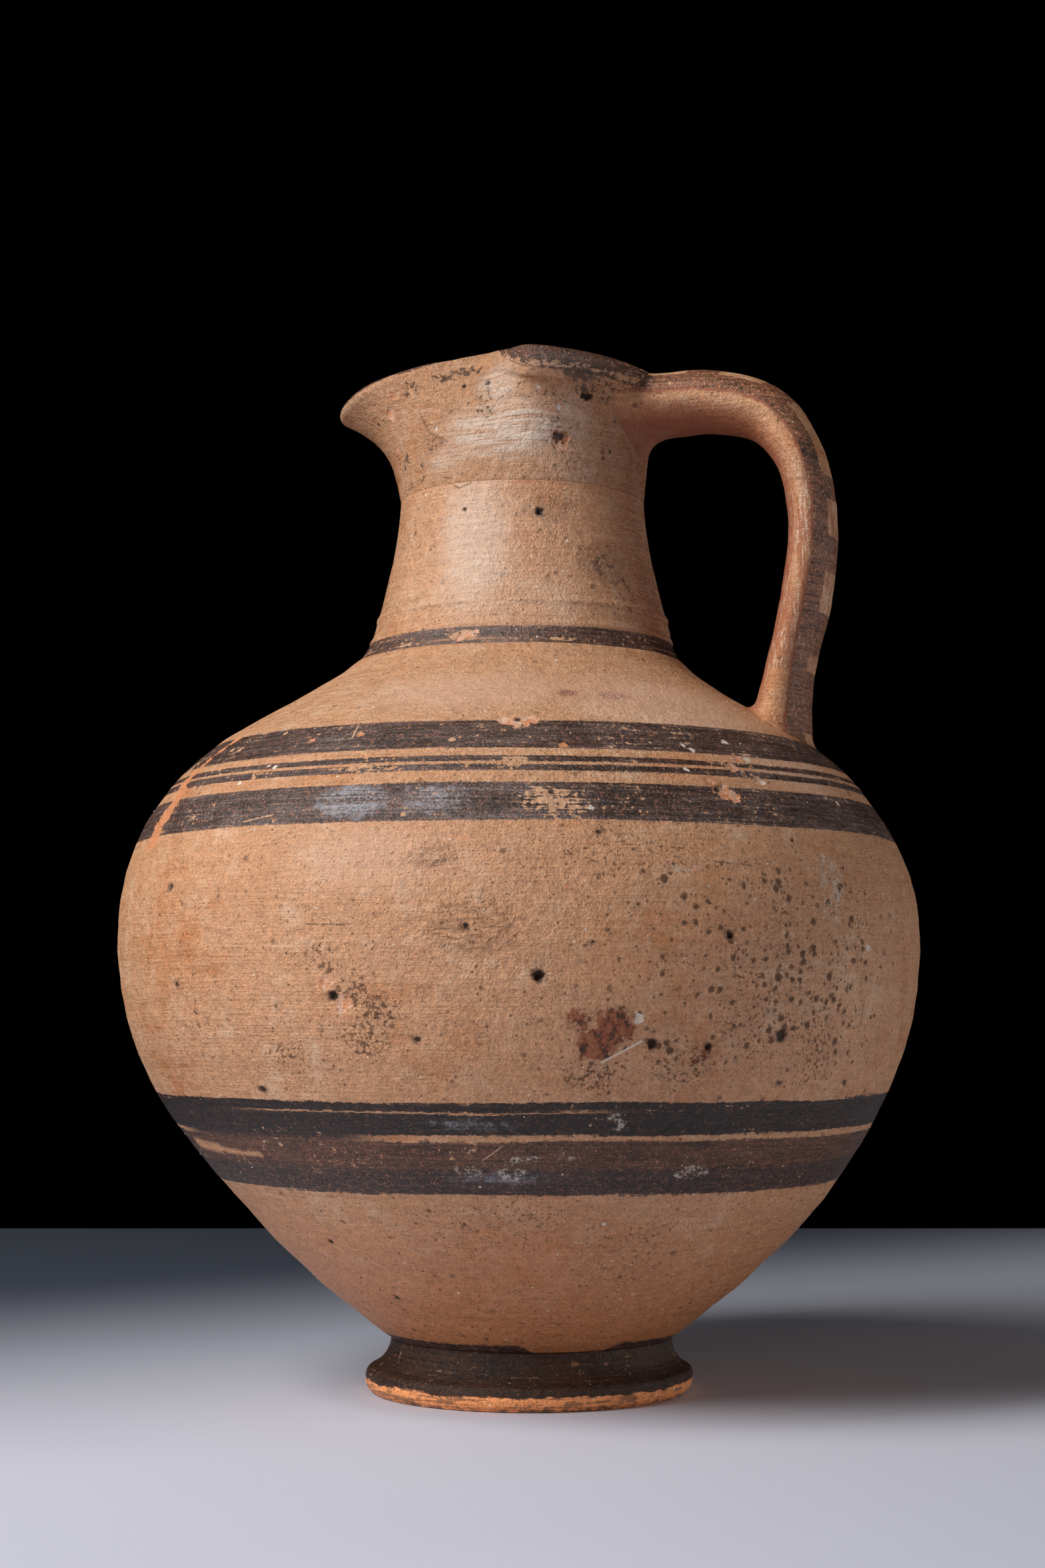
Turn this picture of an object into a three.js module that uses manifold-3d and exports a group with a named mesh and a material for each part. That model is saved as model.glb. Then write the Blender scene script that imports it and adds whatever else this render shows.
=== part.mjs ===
// Oinochoe: a wheel-thrown wine jug with a pinched three-lobed mouth and one strap handle.
// Millimetres, +Z up. The origin is on the resting plane, under the centre of the belly.
// The handle is on the +X side and the spout on the -X side.
// The jug is built as its potter built it: foot ring, body, neck and mouth are thrown one by one
// and luted on top of each other, then the strap handle is drawn out and luted to mouth and shoulder.

import * as THREE from 'three';
import { mergeVertices } from 'three/addons/utils/BufferGeometryUtils.js';
import Module from 'manifold-3d';

// Luting joint between two thrown pieces, and how finely round forms are faceted
const joint = 0.3;
const roundSteps = 64;
const rimSteps = 76;

// Foot ring: a low flaring ring, hollow under the jug
const footHeight = 13.2;
const footRestRadius = 41.2;
const footFlareRadius = 42.9;
const footFlareHeight = 4.2;
const footEdgeRound = 2.1;
const footEdgeInset = 1;
const footWaistRadius = 36.9;
const footRestWidth = 7.6;
const footRingWidth = 8.4;

// Body: belly and shoulder in one thrown piece
const bodyRise = 177.8;
const bellyRadius = 105.7;
const bellyRise = 104;
const lowerRadius = 89;
const lowerRise = 52.8;
const shoulderRadius = 88.4;
const shoulderRise = 146.6;
const bodyWall = 5.2;
const bodyFloor = 7.5;
const bodySeatStep = 0.7;

// Neck: a tapering tube with a small flare where it stands on the shoulder, and two turned ridges
const neckRise = 43.6;
const neckBaseRadius = 43.2;
const neckTopRadius = 32.8;
const neckWall = 4.6;
const neckFlareRise = 8.2;
const neckFlareRadius = 39.6;
const neckRidgeRises = [5.3, 11.4];
const neckRidgeHeight = 0.35;
const neckRidgeWidth = 1.8;

// Mouth: thrown as a flaring collar, its front drawn out and both sides pinched in while soft
const mouthRise = 36;
const mouthWall = 3.8;
const lipThickness = 4.8;
const handleSideReach = 40.5;
const lobeReach = 40;
const lobeForward = 15.5;
const pinchReach = 25.4;
const pinchForward = -3;
const spoutReach = 53;
const spoutHalfWidth = 26;

// How far the rim line lies under its highest place, the crest of each pinch
const rimDrop = { handleSide: 4.6, backLobe: 3.8, lobe: 2.8, fold: 1.2, channel: 1.4, spoutSide: 4.4, tip: 6.7 };

// Strap handle: oval in section, from the back of the mouth out, over and down to the shoulder
const handleReach = 79.8;
const handleArmDrop = 11.8;
const handleRootRadius = 71.5;
const handleRootDepth = 6;
const handleRunIn = 8;
const handleRunOut = 2;
const strapWidth = 27;
const strapThickness = 12.6;
const armThickness = 16;

// Shape of the curves, as shares: how far a curve's aim reaches along its chord, how the mouth's
// wall flares from neck to lip, between which shares it swells into the lip, and how the foot bows
const curveReach = 0.36;
const flareStart = 0.38;
const flarePower = 4;
const lipSwell = { from: 0.855, to: 0.885 };
const footBow = { under: 0.3, over: 0.7, hollow: 0.62, inside: 0.4 };
const footHollowBow = 0.6;

// Places on the rim between its named reaches, as shares of them: across and forward
const backLobe = { forward: 0.79, across: 0.66 };
const fold = { forward: 0.42, across: 0.49 };
const channelForward = 0.4;
const spoutSide = 0.76;

// The strap's run behind the mouth: reach as a share of handleReach, drop as a share of the way
// from arm to shoulder, and which of its own thickness and width it has there
const strapRun = [
  { reach: 0.66, drop: 0, thickness: armThickness, width: 1.05 },
  { reach: 0.85, drop: 0.055, thickness: armThickness * 0.93, width: 1 },
  { reach: 0.958, drop: 0.19, thickness: strapThickness, width: 0.98 },
  { reach: 1, drop: 0.4, thickness: strapThickness * 0.96, width: 0.97 },
  { reach: 0.975, drop: 0.62, thickness: strapThickness * 1.06, width: 1 },
  { reach: 0.93, drop: 0.86, thickness: strapThickness * 1.12, width: 1.08 },
];
const armFlare = { mouth: { thickness: 1.5, width: 1.45 }, rim: { thickness: 1.15, width: 1.2 } };
const armDip = { mouth: 3.2, rim: 0.6 };
const rootFlare = { thickness: 1.55, width: 1.4 };

const wasm = await Module();
wasm.setup();

// Heights of the joints, stacked from the resting plane
const bodyBase = footHeight + joint;
const bodyTop = bodyBase + bodyRise;
const neckBase = bodyTop + joint;
const neckTop = neckBase + neckRise;
const mouthBase = neckTop + joint;
const mouthTop = mouthBase + mouthRise;

// Shared vertices are merged and triangles with no area are dropped
function weld(geometry) {
  geometry.deleteAttribute('normal');
  geometry.deleteAttribute('uv');
  const merged = mergeVertices(geometry, 1e-4);
  const kept = [];
  const index = merged.index.array;
  for (let i = 0; i < index.length; i += 3) {
    const [a, b, c] = [index[i], index[i + 1], index[i + 2]];
    if (a !== b && b !== c && c !== a) kept.push(a, b, c);
  }
  merged.setIndex(kept);
  return facingOut(merged);
}

// Six times the volume is the sum over the triangles; a negative sum means the faces point in
function facingOut(geometry) {
  const position = geometry.attributes.position;
  const index = geometry.index.array;
  const corner = [new THREE.Vector3(), new THREE.Vector3(), new THREE.Vector3()];
  let sum = 0;
  for (let i = 0; i < index.length; i += 3) {
    corner.forEach((v, k) => v.fromBufferAttribute(position, index[i + k]));
    sum += corner[0].dot(corner[1].clone().cross(corner[2]));
  }
  if (sum < 0) {
    const turned = Array.from(index);
    for (let i = 0; i < turned.length; i += 3) {
      [turned[i], turned[i + 1]] = [turned[i + 1], turned[i]];
    }
    geometry.setIndex(turned);
  }
  return geometry;
}

// A profile of (radius, height) points turned round the jug's axis
function thrown(profile) {
  const geometry = new THREE.LatheGeometry(profile, roundSteps);
  geometry.rotateX(Math.PI / 2);
  return weld(geometry);
}

// A skin over rings with equal numbers of points: looped joins the last ring to the first,
// otherwise both end rings are closed by a fan round their middle
function loft(rings, looped) {
  const count = rings[0].length;
  const vertices = rings.flat();
  const index = [];
  const spans = looped ? rings.length : rings.length - 1;
  for (let j = 0; j < spans; j++) {
    const here = j * count;
    const next = ((j + 1) % rings.length) * count;
    for (let i = 0; i < count; i++) {
      const k = (i + 1) % count;
      index.push(here + i, here + k, next + k, here + i, next + k, next + i);
    }
  }
  if (!looped) {
    [rings[0], rings[rings.length - 1]].forEach((ring, end) => {
      const start = end === 0 ? 0 : (rings.length - 1) * count;
      const middle = ring.reduce((sum, v) => sum.add(v), new THREE.Vector3()).divideScalar(count);
      vertices.push(middle);
      for (let i = 0; i < count; i++) {
        const k = (i + 1) % count;
        const fan = end === 0 ? [start + k, start + i] : [start + i, start + k];
        index.push(...fan, vertices.length - 1);
      }
    });
  }
  const geometry = new THREE.BufferGeometry().setFromPoints(vertices);
  geometry.setIndex(index);
  return weld(geometry);
}

function toSolid(geometry) {
  const vertProperties = new Float32Array(geometry.attributes.position.array);
  const triVerts = new Uint32Array(geometry.index.array);
  return new wasm.Manifold(new wasm.Mesh({ numProp: 3, vertProperties, triVerts }));
}

function toGeometry(solid) {
  const mesh = solid.getMesh();
  const geometry = new THREE.BufferGeometry();
  geometry.setAttribute('position', new THREE.BufferAttribute(mesh.vertProperties, mesh.numProp));
  geometry.setIndex(new THREE.BufferAttribute(mesh.triVerts, 1));
  return geometry;
}

const at = (radius, height) => new THREE.Vector2(radius, height);

// A run of curves through stations, each a radius, a height and its lean from upright in degrees
function curveThrough(stations, steps) {
  const aim = (lean) => at(Math.sin(THREE.MathUtils.degToRad(lean)), Math.cos(THREE.MathUtils.degToRad(lean)));
  const points = [];
  for (let i = 0; i + 1 < stations.length; i++) {
    const [from, to] = [stations[i], stations[i + 1]];
    const start = at(from.radius, from.height);
    const end = at(to.radius, to.height);
    const reach = start.distanceTo(end) * curveReach;
    const leaving = start.clone().addScaledVector(aim(from.lean), reach);
    const arriving = end.clone().addScaledVector(aim(to.lean), -reach);
    const run = new THREE.CubicBezierCurve(start, leaving, arriving, end).getPoints(steps);
    points.push(...(i === 0 ? run : run.slice(1)));
  }
  return points;
}

// The same points moved square to the run: outwards, or inwards where the distance is negative
function offset(points, distance) {
  return points.map((point, i) => {
    const before = points[Math.max(i - 1, 0)];
    const after = points[Math.min(i + 1, points.length - 1)];
    const along = after.clone().sub(before).normalize();
    return at(point.x + along.y * distance, point.y - along.x * distance);
  });
}

// Radius of an outline at a height, on a stretch that climbs all the way
function radiusAt(outline, height) {
  const i = Math.max(1, outline.findIndex((p) => p.y >= height));
  const [low, high] = [outline[i - 1], outline[i]];
  return THREE.MathUtils.mapLinear(height, low.y, high.y, low.x, high.x);
}

// The outline with a turned ridge at each height
function withRidges(outline, heights) {
  const half = neckRidgeWidth / 2;
  const plain = outline.filter((p) => heights.every((height) => Math.abs(p.y - height) > half));
  const ridges = heights.flatMap((height) => [-half, 0, half].map((step) => {
    const crest = step === 0 ? neckRidgeHeight : 0;
    return at(radiusAt(outline, height + step) + crest, height + step);
  }));
  return [...plain, ...ridges].sort((a, b) => a.y - b.y);
}

// Outlines of body and neck, from bottom to top: fine outside, coarser inside
const bodyStations = [
  { radius: footWaistRadius - bodySeatStep, height: bodyBase, lean: 54 },
  { radius: lowerRadius, height: bodyBase + lowerRise, lean: 34.5 },
  { radius: bellyRadius, height: bodyBase + bellyRise, lean: 0 },
  { radius: shoulderRadius, height: bodyBase + shoulderRise, lean: -43 },
  { radius: neckBaseRadius + bodySeatStep, height: bodyTop, lean: -47 },
];
const neckStations = [
  { radius: neckBaseRadius, height: neckBase, lean: -38 },
  { radius: neckFlareRadius, height: neckBase + neckFlareRise, lean: -14 },
  { radius: neckTopRadius, height: neckTop, lean: -3 },
];
const bodyOutline = curveThrough(bodyStations, 5);
const neckOutline = curveThrough(neckStations, 4);

function footRing() {
  const innerRest = footRestRadius - footRestWidth;
  const innerTop = footWaistRadius - footRingWidth;
  const edgeTop = footFlareHeight + footEdgeRound;
  const edgeBow = footFlareHeight + footEdgeRound * footBow.over;
  const outline = new THREE.Path();
  outline.moveTo(innerRest, 0);
  outline.lineTo(footRestRadius, 0);
  outline.quadraticCurveTo(footFlareRadius, footFlareHeight * footBow.under, footFlareRadius, footFlareHeight);
  outline.quadraticCurveTo(footFlareRadius, edgeBow, footFlareRadius - footEdgeInset, edgeTop);
  outline.quadraticCurveTo(footWaistRadius, footHeight * footBow.hollow, footWaistRadius, footHeight);
  outline.lineTo(innerTop, footHeight);
  outline.quadraticCurveTo(innerTop + footHollowBow, footHeight * footBow.inside, innerRest, 0);
  return thrown(outline.getPoints(3));
}

function body() {
  const holeRadius = neckBaseRadius - neckWall;
  const floorHeight = bodyBase + bodyFloor;
  const corner = 2;
  const inside = offset(curveThrough(bodyStations, 4), -bodyWall)
    .filter((p) => p.y > floorHeight + corner && p.x > holeRadius + corner / 2);
  const floorRadius = inside[0].x - (inside[0].y - floorHeight);
  const throat = inside[inside.length - 1].y + corner / 2;
  return thrown([
    at(0, bodyBase),
    ...bodyOutline,
    at(holeRadius, bodyTop),
    at(holeRadius, Math.min(bodyTop - bodyWall / 2, throat)),
    ...inside.reverse(),
    at(floorRadius, floorHeight),
    at(0, floorHeight),
  ]);
}

function neck() {
  const inside = offset(curveThrough(neckStations, 3), -neckWall);
  inside[0].set(neckBaseRadius - neckWall, neckBase);
  inside[inside.length - 1].y = neckTop;
  const outside = withRidges(neckOutline, neckRidgeRises.map((rise) => neckBase + rise));
  return thrown([...outside, ...inside.reverse(), outside[0]]);
}

// The rim line seen from above, from the handle side round one half to the spout tip, then mirrored
function rimLine() {
  const rim = (x, y, drop) => new THREE.Vector3(x, y, mouthTop - drop);
  const foldForward = (lobeForward + pinchForward) * fold.forward;
  const foldAcross = (lobeReach + pinchReach) * fold.across;
  const half = [
    rim(handleSideReach, 0, rimDrop.handleSide),
    rim(handleSideReach * backLobe.forward, lobeReach * backLobe.across, rimDrop.backLobe),
    rim(lobeForward, lobeReach, rimDrop.lobe),
    rim(foldForward, foldAcross, rimDrop.fold),
    rim(pinchForward, pinchReach, 0),
    rim(-spoutReach * channelForward, spoutHalfWidth, rimDrop.channel),
    rim(-spoutReach * spoutSide, spoutHalfWidth * spoutSide, rimDrop.spoutSide),
    rim(-spoutReach, 0, rimDrop.tip),
  ];
  const mirrored = half.slice(1, -1).reverse().map((v) => rim(v.x, -v.y, mouthTop - v.z));
  return new THREE.CatmullRomCurve3([...half, ...mirrored], true, 'centripetal');
}

// One ring of the mouth's wall: share 0 is on the neck and 1 at the lip, side +1 is outside and
// -1 inside, and turn carries the lip's round edge over from the outer to the inner side
function mouthRing(share, side, turn = 0, grow = 0) {
  const line = rimLine();
  const lipHalf = lipThickness / 2;
  const neckRadius = neckTopRadius - mouthWall / 2;
  const swell = THREE.MathUtils.smoothstep(share, lipSwell.from, lipSwell.to);
  const half = THREE.MathUtils.lerp(mouthWall / 2, lipHalf, swell) + grow;
  const flare = flareStart * share + (1 - flareStart) * share ** flarePower;
  const steepness = flareStart + (1 - flareStart) * flarePower * share ** (flarePower - 1);
  return Array.from({ length: rimSteps }, (_, i) => {
    const edge = line.getPoint(i / rimSteps);
    const angle = Math.atan2(edge.y, edge.x);
    const spread = Math.hypot(edge.x, edge.y) - lipHalf - neckRadius;
    const rise = edge.z - lipHalf - mouthBase;
    const lean = share > 0 ? Math.atan2(spread * steepness, rise) : 0;
    const out = lean - turn;
    const reach = neckRadius + spread * flare + side * half * Math.cos(out);
    const height = mouthBase + rise * share - side * half * Math.sin(out);
    return new THREE.Vector3(reach * Math.cos(angle), reach * Math.sin(angle), height);
  });
}

const outerShares = [0, 0.14, 0.3, 0.46, 0.6, 0.72, 0.8, lipSwell.from, lipSwell.to, 0.945, 1];
const innerShares = [1, 0.93, 0.84, 0.72, 0.58, 0.4, 0.2, 0];
const lipTurns = [45, 90, 135].map(THREE.MathUtils.degToRad);

function mouth() {
  const outside = outerShares.map((share) => mouthRing(share, 1));
  const overLip = lipTurns.map((turn) => mouthRing(1, 1, turn));
  const inside = innerShares.map((share) => mouthRing(share, -1));
  return loft([...outside, ...overLip, ...inside], true);
}

// What the handle is cut by: body, neck and mouth filled in and grown by the luting joint
function bodyFilled() {
  const outline = offset(bodyOutline, joint);
  return toSolid(thrown([at(0, outline[0].y), ...outline, at(0, outline[outline.length - 1].y)]));
}

function neckFilled() {
  const outline = offset(neckOutline, joint);
  const below = bodyTop - joint;
  const above = mouthBase + joint;
  return toSolid(thrown([at(0, below), ...outline, at(neckTopRadius + joint, above), at(0, above)]));
}

function mouthFilled() {
  const rings = outerShares.map((share) => mouthRing(share, 1, 0, joint));
  const lip = mouthRing(1, 1, lipTurns[0], joint);
  const above = lip.map((v) => v.clone().setZ(mouthTop + lipThickness));
  return toSolid(loft([...rings, lip, above], false));
}

// Height of the shoulder's outer surface at a radius
function shoulderHeight(radius) {
  const above = bodyOutline.filter((p) => p.y > bodyBase + bellyRise);
  const i = above.findIndex((p) => p.x <= radius);
  const [low, high] = [above[i - 1], above[i]];
  return THREE.MathUtils.mapLinear(radius, low.x, high.x, low.y, high.y);
}

// The handle's middle line in the X-Z plane, with the strap's thickness and width at each point
function handleStations() {
  const arm = mouthTop - handleArmDrop;
  const root = shoulderHeight(handleRootRadius);
  const sized = (x, z, thickness, width) => ({ x, z, thickness, width: strapWidth * width });
  const { mouth: inMouth, rim: atRim } = armFlare;
  return [
    sized(handleSideReach - handleRunIn, arm - armDip.mouth, armThickness * inMouth.thickness, inMouth.width),
    sized(handleSideReach + handleRunOut, arm - armDip.rim, armThickness * atRim.thickness, atRim.width),
    ...strapRun.map(({ reach, drop, thickness, width }) => (
      sized(handleReach * reach, THREE.MathUtils.lerp(arm, root, drop), thickness, width))),
    sized(handleRootRadius, root - handleRootDepth, strapThickness * rootFlare.thickness, rootFlare.width),
  ];
}

function strap() {
  const stations = handleStations();
  const through = (points) => new THREE.CatmullRomCurve3(points, false, 'centripetal');
  const line = through(stations.map(({ x, z }) => new THREE.Vector3(x, 0, z)));
  const halves = through(stations.map(({ thickness, width }) => new THREE.Vector3(thickness / 2, width / 2, 0)));
  const steps = 34;
  const round = 20;
  const rings = Array.from({ length: steps + 1 }, (_, j) => {
    const middle = line.getPoint(j / steps);
    const along = line.getTangent(j / steps);
    const half = halves.getPoint(j / steps);
    return Array.from({ length: round }, (_, i) => {
      const turn = i / round * Math.PI * 2;
      const across = half.x * Math.cos(turn);
      const sideways = half.y * Math.sin(turn);
      return new THREE.Vector3(middle.x + along.z * across, sideways, middle.z - along.x * across);
    });
  });
  return toSolid(loft(rings, false));
}

function handle() {
  const cut = strap().subtract(bodyFilled()).subtract(neckFilled()).subtract(mouthFilled());
  return toGeometry(cut);
}

// Fired clay in its warm and paler shades
const clay = (color) => new THREE.MeshStandardMaterial({ color, roughness: 0.62, metalness: 0 });

function sherd(name, geometry, color) {
  const mesh = new THREE.Mesh(geometry, clay(color));
  mesh.name = name;
  return mesh;
}

const jug = new THREE.Group();
jug.add(sherd('foot', footRing(), 0x6a4a3a));
jug.add(sherd('body', body(), 0xc58f66));
jug.add(sherd('neck', neck(), 0xc9966e));
jug.add(sherd('mouth', mouth(), 0xc4936c));
jug.add(sherd('handle', handle(), 0xbb8a66));

export default jug;
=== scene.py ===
"""A wheel-thrown wine jug with dark painted bands, a pinched mouth and one strap handle."""

import math

import bmesh
import bpy
import numpy as np
from bpy.props import FloatProperty, FloatVectorProperty, IntProperty, PointerProperty
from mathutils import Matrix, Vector, noise
from mathutils.bvhtree import BVHTree


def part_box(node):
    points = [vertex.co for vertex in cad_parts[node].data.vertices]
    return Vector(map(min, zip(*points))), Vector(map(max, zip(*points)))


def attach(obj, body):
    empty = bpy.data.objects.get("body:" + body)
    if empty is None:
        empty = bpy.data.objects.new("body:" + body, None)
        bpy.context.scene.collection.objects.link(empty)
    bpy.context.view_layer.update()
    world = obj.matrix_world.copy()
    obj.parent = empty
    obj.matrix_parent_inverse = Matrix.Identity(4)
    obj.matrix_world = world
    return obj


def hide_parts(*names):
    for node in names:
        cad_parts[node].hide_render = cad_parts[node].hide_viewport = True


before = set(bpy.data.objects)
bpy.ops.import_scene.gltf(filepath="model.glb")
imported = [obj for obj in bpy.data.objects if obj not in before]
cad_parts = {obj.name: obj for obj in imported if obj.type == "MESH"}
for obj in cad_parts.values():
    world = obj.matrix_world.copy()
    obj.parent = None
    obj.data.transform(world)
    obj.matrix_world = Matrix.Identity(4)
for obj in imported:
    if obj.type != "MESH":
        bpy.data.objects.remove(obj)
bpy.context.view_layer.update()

bl_info = {
    "name": "Oinochoe",
    "version": (1, 0, 0),
    "blender": (4, 5, 0),
    "location": "View3D > Sidebar > Oinochoe",
    "description": "Builds a thrown clay wine jug with painted bands",
    "category": "Object",
}

MM = 0.001
BODY = "root"
FOOT_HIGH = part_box("foot")[1]
BODY_LOW, BODY_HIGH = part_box("body")
NECK_LOW, NECK_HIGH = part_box("neck")
MOUTH_LOW, MOUTH_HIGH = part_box("mouth")


def size(name, default, description):
    """A length that a user can set."""
    return FloatProperty(
        name=name, description=description, default=default, min=0.0, precision=4, unit="LENGTH")


def colour(name, default, description):
    """A colour that a user can set, in linear light."""
    return FloatVectorProperty(
        name=name, description=description, default=default, min=0.0, max=1.0, size=3,
        subtype="COLOR")


class JugShape(bpy.types.PropertyGroup):
    """Sizes of the jug's members. Heights are above the resting plane."""

    foot_rest_radius: size("Foot rest radius", 0.0412, "Outer radius of the ring on the table")
    foot_flare_radius: size("Foot flare radius", FOOT_HIGH.y, "Widest radius of the foot ring")
    foot_waist_radius: size("Foot waist radius", 0.0369, "Radius where the foot meets the body")
    foot_flare_height: size("Foot flare height", 0.0042, "Height of the foot ring's widest line")
    foot_rest_width: size("Foot rest width", 0.0076, "Width of the flat that the jug stands on")
    foot_ring_width: size("Foot ring width", 0.0084, "Thickness of the foot ring at the body")
    lower_radius: size("Lower radius", 0.089, "Radius of the wall half way up to the belly")
    lower_height: size("Lower height", BODY_LOW.z + 0.0528, "Height of that place")
    belly_radius: size("Belly radius", BODY_HIGH.y, "Widest radius of the body")
    belly_height: size("Belly height", BODY_LOW.z + 0.104, "Height of the widest line")
    shoulder_radius: size("Shoulder radius", 0.0884, "Radius half way up the shoulder")
    shoulder_height: size("Shoulder height", BODY_LOW.z + 0.1466, "Height of that place")
    body_wall: size("Body wall", 0.0052, "Thickness of the body's wall")
    body_floor: size("Body floor", 0.0075, "Thickness of the body's floor")
    neck_base_radius: size("Neck base radius", NECK_HIGH.y, "Radius of the neck on the shoulder")
    neck_flare_radius: size("Neck flare radius", 0.0396, "Radius where the neck's base flare ends")
    neck_flare_rise: size("Neck flare rise", 0.0082, "Height of the neck's base flare")
    neck_top_radius: size("Neck top radius", 0.0328, "Outer radius of the neck under the mouth")
    neck_wall: size("Neck wall", 0.0046, "Thickness of the neck's wall")
    mouth_wall: size("Mouth wall", 0.0038, "Thickness of the mouth's wall")
    lip_thickness: size("Lip thickness", 0.0048, "Thickness of the rolled lip")
    spout_lip: size("Spout lip", 0.0036, "Thickness of the lip at the spout")
    handle_side_reach: size("Handle side reach", 0.0405, "Reach of the rim towards the handle")
    lobe_reach: size("Lobe reach", 0.04, "Reach of each side lobe")
    lobe_forward: size("Lobe forward", 0.0155, "Place of the side lobes towards the handle")
    pinch_reach: size("Pinch reach", 0.0254, "Half the width of the mouth between the pinches")
    spout_reach: size("Spout reach", 0.053, "Reach of the spout's tip")
    spout_half_width: size("Spout half width", 0.026, "Half the width of the spout behind its tip")
    handle_reach: size("Handle reach", 0.0798, "Reach of the strap's middle line")
    handle_arm_drop: size("Handle arm drop", 0.0118, "Depth of the arm's middle line under the rim")
    handle_root_radius: size("Handle root radius", 0.0715, "Where the strap meets the shoulder")
    strap_width: size("Strap width", 0.027, "Width of the strap")
    strap_thickness: size("Strap thickness", 0.0126, "Thickness of the strap")
    arm_thickness: size("Arm thickness", 0.016, "Thickness of the arm at the mouth")


class JugHand(bpy.types.PropertyGroup):
    """Marks of the hand and the wheel."""

    around: IntProperty(
        name="Steps around", description="Faces round each thrown piece", default=320, min=24)
    ridge_depth: size("Ridge depth", 0.00022, "Depth of the throwing ridges")
    ridge_pitch: size("Ridge pitch", 0.0062, "Distance from one throwing ridge to the next")
    unevenness: size("Unevenness", 0.0005, "How far the wall strays from a true round")
    uneven_size: size("Uneven size", 0.045, "Size of the swellings and hollows")
    grain_density: FloatProperty(
        name="Grain density", description="Temper grains to a square metre of wall",
        default=3200.0, min=0.0)
    grain_radius: size("Grain radius", 0.00042, "Largest radius of a temper grain")
    seed: IntProperty(name="Seed", description="Start of every random draw", default=7)


class JugColours(bpy.types.PropertyGroup):
    """Colours of the fired clay, its paint and its stains."""

    clay: colour("Clay", (0.58, 0.292, 0.150), "Smoothed clay")
    clay_pale: colour("Pale clay", (0.66, 0.385, 0.23), "Clay where it fired paler")
    # Besides its own patches, this red is laid low on the body and over the foot, partly as painted
    # shade.
    clay_red: colour("Red clay", (0.50, 0.185, 0.064), "Clay where it fired redder")
    bare: colour("Bare clay", (0.64, 0.25, 0.11), "Fresh clay in scrapes and chips")
    # Besides the bottoms of chips and pale specks, this colour is laid as painted light on the
    # body's pale patches.
    spall_and_sheen: colour("Spall", (0.74, 0.46, 0.33), "Pale pink bottom of deep chips")
    # This tan is also laid as painted sheen on the shoulder, the neck and the mouth.
    tan: colour("Tan film", (0.56, 0.40, 0.28), "Thin pale film on the clay")
    lime: colour("Lime", (0.76, 0.64, 0.53), "Pale grains and crusts")
    paint: colour("Paint", (0.021, 0.018, 0.020), "Dark slip of the bands")
    # This grey is partly a dull skin on the slip and partly painted sheen.
    paint_grey: colour("Grey paint", (0.115, 0.100, 0.106), "Dark slip where its skin is dull")
    paint_brown: colour("Brown paint", (0.120, 0.048, 0.026), "Dark slip where it is thin")
    rust: colour("Rust", (0.27, 0.065, 0.030), "Red-brown patches")
    rust_pale: colour("Pale rust", (0.41, 0.150, 0.070), "Thin red-brown wash")
    stain: colour("Stain", (0.130, 0.055, 0.025), "Brown spots and stains")
    soot: colour("Soot", (0.048, 0.026, 0.017), "Dark filling of pits and cracks")
    # This colour is painted highlight: the lit, glinting skin of the neck and the mouth.
    clay_highlight: colour("Chalk", (0.80, 0.64, 0.53), "Pale worn skin of the neck and the mouth")
    # This grey is painted highlight on the slip of the shoulder's bands.
    band_highlight: colour("Ash", (0.34, 0.33, 0.36), "Pale bloom on the slip")


class JugStage(bpy.types.PropertyGroup):
    """Floor, lamps and camera."""

    floor: colour("Floor", (0.62, 0.64, 0.75), "Pale table top")
    floor_far: colour("Far floor", (0.056, 0.067, 0.092), "Table top where less light falls")
    backdrop: colour("Backdrop", (0.0, 0.0, 0.0), "What the camera sees behind the table")
    ambient: FloatProperty(
        name="Ambient", description="Level of the room's even light", default=0.03, min=0.0)
    key_power: FloatProperty(
        name="Key", description="Watts of the large lamp", default=18.4, unit="POWER")
    fill_power: FloatProperty(
        name="Fill", description="Watts of the weak lamp", default=5.6, unit="POWER")
    camera_distance: size("Camera distance", 0.673, "From the jug's axis to the camera")
    camera_height: size("Camera height", 0.09703, "Height of the camera over the table")
    camera_turn: FloatProperty(
        name="Camera turn", description="Angle of the camera round the jug",
        default=math.radians(18), subtype="ANGLE")
    camera_pitch: FloatProperty(
        name="Camera pitch", description="How far the camera looks up",
        default=math.radians(5.297), subtype="ANGLE")
    lens: FloatProperty(
        name="Lens", description="Focal length in millimetres", default=57.83, unit="CAMERA")
    table_depth: size("Table depth", 0.507, "From the jug's axis to the table's far edge")


def jug(part):
    """One of the jug's property groups."""
    return getattr(bpy.context.scene.oinochoe, part)


class Jug(bpy.types.PropertyGroup):
    """All that can be set on the jug."""

    shape: PointerProperty(type=JugShape, name="Shape", description="Sizes of the members")
    hand: PointerProperty(type=JugHand, name="Hand", description="Marks of the hand and the wheel")
    colours: PointerProperty(type=JugColours, name="Colours", description="Clay, paint and stains")
    stage: PointerProperty(type=JugStage, name="Stage", description="Floor, lamps and camera")


# Outlines, in metres

# Length of a curve's handles over the distance it spans, and points to each span
CURVE_REACH = 0.36
DENSE = 60
# Points nearer to each other, or to the axis, than this are one
SAME = 1e-6
# How far an outline runs on under the member next to it
TUCK = 0.7 * MM
# Ridges round the neck: height and strength, then how high and how wide they are
NECK_RIDGES = ((203 * MM, 1.0), (197 * MM, 0.8))
RIDGE_RISE, RIDGE_WIDTH = 0.42 * MM, 0.7 * MM
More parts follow.
